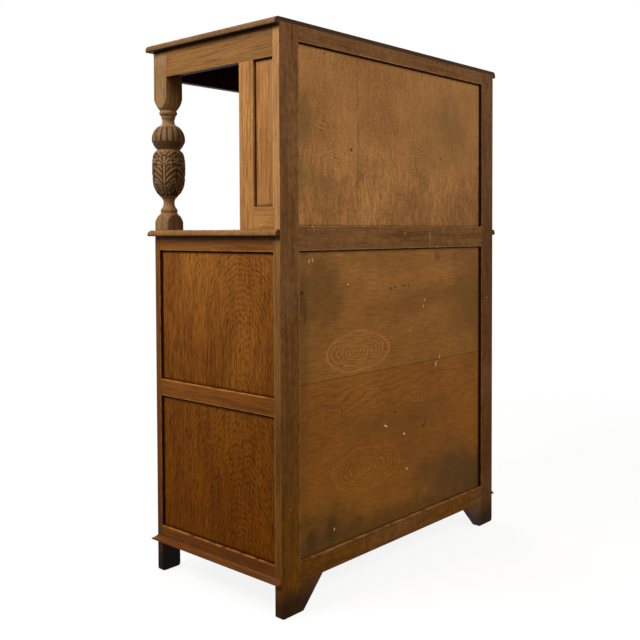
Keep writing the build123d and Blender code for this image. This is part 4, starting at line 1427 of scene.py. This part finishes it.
# ---------------------------------------------------------------- sub-assemblies
@dataclass
class BackFrame:
    """The stained frame at the rear, its plywood and veneered panels, and the feet's brackets."""

    arris: float = 0.0009

    @staticmethod
    def marks() -> tuple[Mark, ...]:
        """Scratches and chips on the frame's rear face: the rails' first, then the stiles'."""
        return (
            Mark(-0.128, 0.872, 0.018, 0.0011, 90, 0.75),
            Mark(-0.250, 0.090, 0.014, 0.0007, 90, 0.5),
            Mark(0.071, 0.091, 0.014, 0.0007, 90, 0.5),
            Mark(0.345, 0.895, 0.006, 0.0011, 90, 0.6),
            Mark(0.094, 0.897, 0.008, 0.0009, 90, 0.6),
            Mark(-0.192, 0.893, 0.009, 0.0009, 90, 0.6),
            Mark(-0.012, 0.884, 0.005, 0.0022, 110, 0.5),
            Mark(-0.272, 0.878, 0.0035, 0.0016, 70, 0.6),
            Mark(0.349, 0.9015, 0.004, 0.0014, 0, 0.9),
            Mark(0.160, 0.9017, 0.005, 0.0010, 0, 0.8),
            Mark(-0.160, 0.8468, 0.004, 0.0014, 20, 0.7),
            Mark(-0.425, 0.690, 0.0024, 0.0022, 0, 0.95),
            Mark(0.428, 0.250, 0.004, 0.0012, 60, 0.6),
        )

    def dress(self) -> None:
        """Gives every piece of the back its finish."""
        grain = Lie(Grain.Z, (0.40, 0.15), (0.01, 0.03), 0.0028, seed=1.0)
        framed = SIDE_OPENINGS + RETURN_OPENINGS
        outer = honey("rear_stile_side", replace(grain, seed=4.0), REAR_SIDE, arrises=framed)
        # painted highlights and shade at the arrises, and painted shade towards the floor
        common = {"roughness": 0.6, "arrises": BACK_OPENINGS, "gloss": 0.04, "low": (0.92, 0.74, 0.2)}
        marks = self.marks()
        stiles = StainedOak(
            "rear_stile_stain", grain, *BACK_STAIN, marks=marks[-2:], side=outer, foot=0.07, **common
        )
        finish_nodes(stiles, self.arris, "rear_stile_left", "rear_stile_right")
        grain = Lie(Grain.X, (0.16, 0.8), (0.02, 0.03), 0.0030, cuts=((2, 0.5), (2, 1.1)), seed=2.0)
        rails = StainedOak("rear_rail_stain", grain, *BACK_STAIN.shaded(1.15), marks=marks[:-2], **common)
        finish_nodes(rails, self.arris, "back_bottom_rail", "back_middle_rail", "back_top_rail")
        grain = Lie(Grain.Z, (0.36, 0.19), seed=5.0)
        bracket = StainedOak("bracket_stain", grain, *BACK_STAIN.shaded(0.8), roughness=0.55, foot=0.05)
        finish_nodes(bracket, self.arris, "rear_foot_brackets")
        finish_nodes(self.ply(), 0.0, "back_lower_panel")
        finish_nodes(self.veneer(), 0.0, "back_upper_panel")

    @staticmethod
    def ply() -> PeeledPly:
        """The lower panel's plywood."""
        return PeeledPly(
            "back_plywood",
            light=chart(154, 105, 57),
            body=chart(130, 85, 42),
            dark=chart(54, 29, 8),
            damp=chart(68, 49, 18),
            chipped=chart(222, 178, 120),
            join=0.5295,
            whorls=(
                Whorl(0.170, 0.587, 0.120, 0.050, 1.0, 8.0),
                Whorl(0.136, 0.286, 0.136, 0.054, 2.0, 8.0, 0.62),
                Whorl(-0.169, 0.650, 0.075, 0.042, 15.0, 4.5, 0.2),
                Whorl(-0.116, 0.444, 0.045, 0.017, 0.0, 3.0, 0.5),
                Whorl(-0.270, 0.462, 0.120, 0.014, 3.0, 2.4, 0.3),
                Whorl(0.300, 0.440, 0.090, 0.020, -4.0, 2.4, 0.3),
                Whorl(-0.290, 0.215, 0.090, 0.050, 30.0, 4.0, 0.14),
                Whorl(0.376, 0.714, 0.024, 0.030, 0.0, 3.0, 0.35),
                Whorl(0.348, 0.153, 0.030, 0.034, 0.0, 3.0, 0.35),
                Whorl(-0.175, 0.821, 0.040, 0.026, 0.0, 3.5, 0.2),
            ),
            stains=(
                Mark(0.345, 0.740, 0.110, 0.095, 20, 0.5, 0.6),
                Mark(0.250, 0.755, 0.070, 0.060, 0, 0.25, 0.7),
                Mark(-0.335, 0.700, 0.085, 0.130, 0, 0.42, 0.7),
                Mark(-0.270, 0.185, 0.160, 0.070, 10, 0.72, 0.6),
                Mark(0.300, 0.160, 0.120, 0.055, 0, 0.6, 0.6),
                Mark(0.0, 0.125, 0.420, 0.035, 0, 0.62, 0.6),
                Mark(0.380, 0.600, 0.022, 0.300, 0, 0.4, 0.8),
                Mark(0.060, 0.820, 0.300, 0.030, 0, 0.3, 0.8),
                Mark(-0.05, 0.700, 0.190, 0.030, -6, 0.22, 0.8),
                Mark(0.020, 0.390, 0.260, 0.026, 4, 0.25, 0.8),
            ),
            knots=(
                Mark(0.378, 0.746, 0.006, 0.005, 0, 0.9),
                Mark(0.377, 0.714, 0.016, 0.022, 0, 0.3, 0.4),
                Mark(0.348, 0.153, 0.020, 0.022, 0, 0.55, 0.5),
                Mark(0.274, 0.162, 0.018, 0.030, 0, 0.5, 0.5),
                Mark(-0.175, 0.820, 0.013, 0.012, 0, 0.35, 0.6),
                Mark(0.0384, 0.7405, 0.005, 0.0024, 30, 0.95),
                Mark(0.0196, 0.7430, 0.004, 0.0026, 40, 0.95),
                Mark(-0.0213, 0.7445, 0.0030, 0.0030, 0, 0.95),
                Mark(-0.0408, 0.7436, 0.0024, 0.0030, 0, 0.9),
                Mark(-0.119, 0.366, 0.014, 0.0030, -74, 0.6, 0.6),
                Mark(-0.108, 0.352, 0.009, 0.0036, -20, 0.7, 0.6),
                Mark(0.020, 0.409, 0.005, 0.003, 30, 0.7),
                Mark(-0.115, 0.843, 0.050, 0.0012, -3, 0.85),
                Mark(0.367, 0.690, 0.004, 0.016, 0, 0.5, 0.5),
            ),
            chips=(
                Mark(0.2114, 0.7587, 0.0030, 0.0022, 0, 0.7),
                Mark(-0.1154, 0.7006, 0.0020, 0.0028, 0, 0.7),
                Mark(-0.1095, 0.6838, 0.0018, 0.0040, 0, 0.7),
                Mark(-0.0463, 0.6225, 0.0018, 0.0030, 0, 0.5),
                Mark(-0.1877, 0.5346, 0.0018, 0.0050, 0, 0.7),
                Mark(-0.1693, 0.5174, 0.0022, 0.0080, 20, 0.9),
                Mark(0.0603, 0.3798, 0.0080, 0.0020, 25, 0.95),
                Mark(-0.0209, 0.3451, 0.0055, 0.0026, 40, 0.9),
                Mark(-0.0320, 0.2477, 0.0034, 0.0030, 0, 0.9),
                Mark(0.2654, 0.1596, 0.0022, 0.0034, 0, 0.9),
                Mark(0.352, 0.820, 0.0020, 0.0060, 10, 0.5),
                Mark(0.340, 0.822, 0.0020, 0.0060, -15, 0.45),
            ),
            edge=BACK_OPENINGS[0],
            face=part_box("back_lower_panel")[1].y,
        )

    @staticmethod
    def veneer() -> RippledVeneer:
        """The upper panel's veneer."""
        return RippledVeneer(
            "back_veneer",
            light=chart(153, 107, 60),
            body=chart(122, 82, 42),
            dark=chart(78, 48, 18),
            damp=chart(96, 75, 36),
            seam=0.171,
            stains=(
                Mark(0.375, 1.150, 0.026, 0.060, 0, 0.6, 0.6),
                Mark(0.382, 1.030, 0.016, 0.036, 0, 0.55, 0.6),
                Mark(0.315, 1.005, 0.055, 0.026, 15, 0.45, 0.7),
                Mark(-0.230, 1.180, 0.150, 0.110, 0, 0.3, 0.8),
                Mark(-0.120, 1.060, 0.090, 0.050, 0, 0.2, 0.8),
            ),
            knots=(
                Mark(0.1967, 1.0926, 0.0050, 0.0045, 0, 0.8, 0.5),
                Mark(-0.1926, 1.0943, 0.0026, 0.0026, 0, 0.85),
                Mark(0.2960, 1.3149, 0.0030, 0.0030, 0, 0.8),
            ),
            edge=BACK_OPENINGS[1],
        )


@dataclass
class LowerStage:
    """The framed cupboard below: corner stiles, rails, side panels, base moulding and middle board."""

    arris: float = 0.0009
    fine_arris: float = 0.0006
    deal_arris: float = 0.0008

    def dress(self) -> None:
        """Gives every piece of the lower stage its finish."""
        side = Lie(Grain.Y, (0.47, 0.44), (0.01, 0.02), 0.0060, cuts=((2, 0.3), (2, 0.7)), seed=7.0)
        level = Lie(Grain.X, (-0.19, 0.9), (0.01, 0.02), 0.0028, cuts=((2, 0.5),), seed=8.0)
        upright = Lie(Grain.Z, (0.43, -0.18), (0.01, 0.03), 0.0030, seed=9.0)
        # painted arris highlights, painted shadow under the middle board, and painted shade towards the floor
        painted_side_light = {"arrises": SIDE_OPENINGS, "overhang_shadow": LEDGE, "low": SIDE_FALLOFF}
        finish_nodes(honey("side_rail_oak", side, DEEP_HONEY, **painted_side_light), self.arris, "side_rails")
        front = honey("front_frame_oak", level, DEEP_HONEY)
        finish_nodes(front, self.arris, "front_top_rail", "front_bottom_rail")
        stile = honey("front_stile_oak", upright, DEEP_HONEY.shaded(0.75), foot=0.085, **painted_side_light)
        finish_nodes(stile, self.arris, "front_stile_left", "front_stile_right")
        cathedral = Lie(Grain.Z, (0.4975, 0.103), (-0.5, 0.02), 0.0078, cuts=PANELS_PART, seed=3.4)
        cathedral = replace(cathedral, sway=2.7, fresh=True)
        figured = {"ring_strength": 0.66, "streak_strength": 0.4, "fleck_strength": 0.6}
        # painted shade along the panels' margins and towards the floor, and a duller gloss
        aged = {"edges": SIDE_OPENINGS, "low": (0.52, 0.38, 0.02), "gloss": 0.03}
        panel = honey("side_panel_oak", cathedral, DEEP_HONEY.shaded(0.98), **figured, **aged)
        finish_nodes(panel, 0.0, "side_panels")
        edging = DEEP_HONEY.shaded(0.9)
        # painted shade towards the floor
        moulding = honey("base_moulding_oak", replace(side, seed=11.0), edging, low=(0.6, 0.5, 0.2))
        finish_nodes(moulding, self.fine_arris, "base_moulding_sides")
        moulding = honey("front_moulding_oak", replace(level, seed=12.0), edging)
        finish_nodes(moulding, self.fine_arris, "base_moulding_front")
        board = Lie(Grain.X, (0.05, 0.80), (0.02, 0.03), 0.0040, seed=13.0)
        # painted shade on the middle board's underside and towards the floor, and a darker rear edge
        edges = {"below": LEDGE + 0.0025, "rear": BACK - 0.0009, "low": (0.8, 0.6, 0.2)}
        finish_nodes(ShadedOak("middle_board_oak", board, *HONEY.shaded(0.56), **edges), 0.0, "middle_board")

    def dress_inside(self) -> None:
        """Gives the boards and battens inside the carcase their bare wood."""
        board = Lie(Grain.X, (0.0, 0.3), (0.02, 0.03), 0.006, cuts=((2, 0.3), (2, 1.0)), seed=14.0)
        finish_nodes(Deal("inner_deal", board), self.deal_arris, "bottom_board", "shelf", "door_stops")
        batten = Lie(Grain.Y, (0.40, 0.3), (0.02, 0.03), 0.005, cuts=((2, 0.3),), seed=15.0)
        finish_nodes(Deal("batten_deal", batten), self.deal_arris, "bottom_board_bearers", "shelf_bearers")


@dataclass
class LowerDoors:
    """The pair of framed doors with a plain panel below and a lozenge panel above."""

    arris: float = 0.0009
    fine_arris: float = 0.0006
    slope: float = 0.026  # width of a panel's sloped border
    lozenge_half: tuple[float, float] = (0.1013, 0.0971)

    def dress(self) -> None:
        """Gives both doors their finish."""
        for number, hand in enumerate(("right", "left"), start=1):
            stile = Lie(Grain.Z, (0.18, -0.17), (0.01, 0.03), 0.0030, cuts=((0, 0.2),))
            rail = Lie(Grain.X, (-0.17, 0.5), (0.01, 0.02), 0.0030, cuts=((2, 0.3), (2, 0.7)))
            for member, lie, seed in (("stile", stile, 20.0), ("rail", rail, 23.0)):
                oak = honey(f"door_{member}_oak_{hand}", replace(lie, seed=seed + number), DEEP_HONEY)
                finish_nodes(oak, self.arris, f"lower_door_{member}s_{hand}")
            lie = Lie(Grain.Z, (0.20, -0.17), (0.02, 0.05), 0.0038, cuts=PANELS_PART, sway=1.2)
            node = f"lower_door_panels_{hand}"
            shown = openings(node, 0, MIDDLE_RAIL)
            finish = DoorPanelOak(
                f"door_panel_oak_{hand}",
                replace(lie, seed=26.0 + number),
                *DEEP_HONEY,
                streak_strength=0.55,
                edges=shown,
                fields=tuple(edge.within(self.slope) for edge in shown),
                lozenge=Lozenge(*shown[1].middle(), *self.lozenge_half),
            )
            finish_nodes(finish, self.fine_arris, node)


@dataclass
class UpperCupboard:
    """The splay-fronted cupboard: returns, splayed wings, jambs and the single door."""

    arris: float = 0.0009
    fine_arris: float = 0.0006
    splay: float = math.radians(45)
    slope: float = 0.026  # width of the panel's sloped border
    lozenge_half: tuple[float, float] = (0.1013, 0.0751)

    def dress(self) -> None:
        """Gives every piece of the upper cupboard its finish."""
        wing = Lie(Grain.Z, (0.24, 0.05), (0.01, 0.04), 0.0032, turn=self.splay, seed=33.0)
        wing_rail = Lie(Grain.X, (-0.24, 0.90), (0.01, 0.02), 0.0030, self.splay, ((2, 1.1),), seed=35.0)
        jamb = Lie(Grain.Z, (0.20, -0.08), (0.01, 0.03), 0.0030, seed=36.0)
        level = Lie(Grain.X, (-0.08, 0.9), (0.01, 0.02), 0.0030, cuts=((2, 1.1),), seed=37.0)
        members = {
            "return_stiles": Lie(Grain.Z, (0.42, 0.10), (0.01, 0.03), 0.0030, seed=30.0),
            "return_rails": Lie(Grain.Y, (0.47, 0.80), (0.01, 0.02), 0.0028, seed=31.0),
            "splay_stiles": replace(wing, cuts=((0, 0.34),)),
            "splay_rails": wing_rail,
            "upper_jambs": jamb,
            "upper_sill": level,
            "upper_head": level,
            "upper_door_stiles": replace(jamb, seed=38.0),
            "upper_door_rails": replace(level, seed=39.0),
        }
        for node, lie in members.items():
            finish_nodes(honey(f"{node}_oak", lie), self.arris, node)
        panel = Lie(Grain.Z, (0.42, 0.185), (0.02, 0.06), 0.0034, seed=32.0)
        finish = honey("return_panel_oak", panel, streak_strength=0.6, edges=RETURN_OPENINGS)
        finish_nodes(finish, 0.0, "return_panels")
        finish = honey("splay_panel_oak", replace(wing, seed=34.0), streak_strength=0.6)
        finish_nodes(finish, self.fine_arris, "splay_panels")
        (shown,) = openings("upper_door_panels", 0)
        finish = DoorPanelOak(
            "upper_door_panel_oak",
            Lie(Grain.Z, (0.03, -0.07), (0.02, 0.05), 0.0036, seed=40.0, sway=1.2),
            *HONEY,
            edges=(shown,),
            fields=(shown.within(self.slope),),
            lozenge=Lozenge(*shown.middle(), *self.lozenge_half),
        )
        finish_nodes(finish, self.fine_arris, "upper_door_panels")


@dataclass
class Canopy:
    """The frieze, the pillars that carry it, and the top board."""

    arris: float = 0.0009
    deal_arris: float = 0.0008

    def build(self) -> None:
        """Builds the carved pillars and frieze, and dresses the rest."""
        side = Lie(Grain.Y, (0.47, 1.20), (0.01, 0.02), 0.0055, seed=50.0)
        # painted shade on the side friezes' inner faces and underside
        inner = {"gloss": 0.03, "inner_x": SIDE - 0.0005, "below": 2.0}
        frieze = ShadedOak("side_frieze_oak", side, *HONEY.shaded(0.57), **inner)
        finish_nodes(frieze, self.arris, "side_friezes")
        board = Lie(Grain.X, (0.05, 1.28), (0.02, 0.03), 0.0050, seed=51.0)
        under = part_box("top_board")[0].z
        # painted shade on the top board's underside, and a darker rear edge
        edges = {"below": under + 0.003, "rear": BACK - 0.0009}
        top = ShadedOak("top_board_oak", board, *HONEY.shaded(0.42), **edges)
        finish_nodes(top, 0.0, "top_board")
        block = replace(board, seed=54.0)
        # glue blocks painted near-black: painted shade inside the canopy
        shaded_blocks = Oak("glue_block_shade", block, *BACK_STAIN.shaded(0.12), roughness=0.8, gloss=0.03)
        finish_nodes(shaded_blocks, self.deal_arris, "frieze_glue_blocks")
        stock = Lie(Grain.Z, (0.40, -0.23), (0.01, 0.02), 0.0032, seed=52.0)
        for node in ("pillar_right", "pillar_left"):
            # painted shade in the cuts and painted highlights on the crests
            Pillar(node, CarvedOak(f"{node}_oak", stock, *CARVED)).build()
        rail = Lie(Grain.X, (-0.17, 1.30), (0.01, 0.02), 0.0030, seed=53.0)
        # painted shade in the cuts, highlights on the crests, and painted shade on the rail's inner face
        carved = CarvedOak("carved_frieze_oak", rail, *HONEY.shaded(0.8), rear=-0.21, rear_tone=0.08)
        LunetteFrieze(carved).build()


@dataclass
class Brasswork:
    """Hinges and drop handles."""

    words: tuple[str, ...] = ("hinge", "handle")  # one is in the name of every brass node

    def dress(self) -> None:
        """Gives every brass piece its finish."""
        nodes = [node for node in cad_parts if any(word in node for word in self.words)]
        finish_nodes(AgedBrass("aged_brass"), 0.0, *nodes)


# ---------------------------------------------------------------- studio
@dataclass(frozen=True)
class Lamp:
    """A soft square lamp."""

    name: str
    place: Place
    aim: Place
    size: float
    power: float
    colour: Colour = (1.0, 1.0, 1.0)

    def hang(self) -> None:
        """Hangs the lamp and turns it to its aim."""
        light = bpy.data.lights.new(self.name, "AREA")
        light.size = self.size
        light.energy = self.power
        light.color = self.colour
        lamp = bpy.data.objects.new(self.name, light)
        lamp.location = self.place
        ahead = Vector(self.aim) - Vector(self.place)
        lamp.rotation_euler = ahead.to_track_quat("-Z", "Y").to_euler()
        bpy.context.scene.collection.objects.link(lamp)


@dataclass
class Studio:
    """Plain pale floor, soft light and the camera behind the cupboard's right rear corner."""

    floor_half: float = 14.0
    floor_bounce: Colour = (0.16, 0.13, 0.10)
    floor_fade: tuple[float, float] = (1.4, 3.0)  # distances over which the floor goes plain white
    ambient: float = 0.26
    lamps: tuple[Lamp, ...] = (
        Lamp("side_key", (2.1, -0.5, 2.5), (0.45, 0.0, 1.15), 1.2, 88.0, (1.0, 0.96, 0.9)),
        Lamp("rear_fill", (0.5, 2.9, 2.6), (0.0, 0.24, 0.9), 2.0, 92.0, (1.0, 0.96, 0.9)),
        Lamp("front_fill", (-1.8, -3.0, 2.6), (0.0, -0.2, 0.8), 2.2, 95.0, (1.0, 0.97, 0.93)),
    )
    eye: Place = (1.83591, 1.61393, 0.88655)
    yaw: float = 0.844255
    pitch: float = -0.03146
    roll: float = -0.003355
    lens: float = 48.48
    shift: tuple[float, float] = (-0.015625, -0.09375)

    def build(self) -> None:
        """Builds the floor, the surroundings, the lamps and the camera."""
        self.lay_floor()
        self.light_surroundings()
        for lamp in self.lamps:
            lamp.hang()
        self.set_camera()

    @staticmethod
    def seen(sheet: Sheet) -> Signal:
        """Tells the rays that show the surroundings from those that light the cupboard.

        Args:
            sheet: The sheet that asks.

        Returns:
            One for rays to the eye, off gloss and through glass.
        """
        camera = sheet.put("ShaderNodeLightPath", output="Is Camera Ray")
        outputs = camera.socket.node.outputs
        gloss, glass = (Signal(sheet, outputs[f"Is {kind} Ray"]) for kind in ("Glossy", "Transmission"))
        return camera.most(gloss).most(glass)

    def lay_floor(self) -> None:
        """Lays a plain pale floor that keeps the cupboard's shadow."""
        half = self.floor_half
        mesh = bpy.data.meshes.new("floor")
        corners = [(-half, -half, 0), (half, -half, 0), (half, half, 0), (-half, half, 0)]
        mesh.from_pydata(corners, [], [(0, 1, 2, 3)])
        sheet = Sheet.of("pale_floor")
        seen = self.seen(sheet)
        bounced = sheet.mix(seen, self.floor_bounce, (0.92, 0.92, 0.92))
        matt = sheet.put("ShaderNodeBsdfDiffuse", inputs={"Color": bounced})
        glow = sheet.put("ShaderNodeEmission", inputs={"Color": (1.0, 1.0, 1.0), "Strength": 1.0})
        x, y, _ = sheet.axes(sheet.place())
        far = (x * x + y * y).root().between(*self.floor_fade)
        shown = seen * (far * 0.12 + 0.88)
        sheet.put_end(sheet.put("ShaderNodeMixShader", inputs={0: shown, 1: matt, 2: glow}))
        mesh.materials.append(sheet.owner)
        floor = bpy.data.objects.new("floor", mesh)
        bpy.context.scene.collection.objects.link(floor)

    def light_surroundings(self) -> None:
        """Surrounds the scene with even pale light, white where it is seen."""
        world = bpy.data.worlds.new("surroundings")
        bpy.context.scene.world = world
        sheet = Sheet(world)
        even = {"Color": (1.0, 0.98, 0.94), "Strength": self.ambient}
        plain = sheet.put("ShaderNodeBackground", inputs=even)
        white = sheet.put("ShaderNodeBackground", inputs={"Color": (1.0, 1.0, 1.0), "Strength": 1.0})
        sheet.put_end(sheet.put("ShaderNodeMixShader", inputs={0: self.seen(sheet), 1: plain, 2: white}))

    def set_camera(self) -> None:
        """Sets the camera to look down a little at the cupboard's right rear corner."""
        level = Vector((-math.sin(self.yaw), -math.cos(self.yaw), 0.0))
        up = Vector((0.0, 0.0, 1.0))
        right = level.cross(up)
        ahead = level * math.cos(self.pitch) + up * math.sin(self.pitch)
        above = up * math.cos(self.pitch) - level * math.sin(self.pitch)
        turn = Matrix((right, above, -ahead)).transposed() @ Matrix.Rotation(self.roll, 3, "Z")
        data = bpy.data.cameras.new("camera")
        data.lens = self.lens
        data.sensor_width = 36.0
        data.shift_x, data.shift_y = self.shift
        camera = bpy.data.objects.new("camera", data)
        camera.matrix_world = Matrix.Translation(self.eye) @ turn.to_4x4()
        bpy.context.scene.collection.objects.link(camera)
        bpy.context.scene.camera = camera


def main() -> None:
    """Dresses the cupboard from back to front, and sets up the studio."""
    logging.basicConfig(level=logging.INFO, format="%(message)s")
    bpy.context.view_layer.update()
    bpy.context.scene.view_settings.view_transform = "Standard"
    BackFrame().dress()
    lower = LowerStage()
    lower.dress()
    lower.dress_inside()
    LowerDoors().dress()
    UpperCupboard().dress()
    Canopy().build()
    Brasswork().dress()
    Studio().build()


if __name__ == "__main__":
    main()
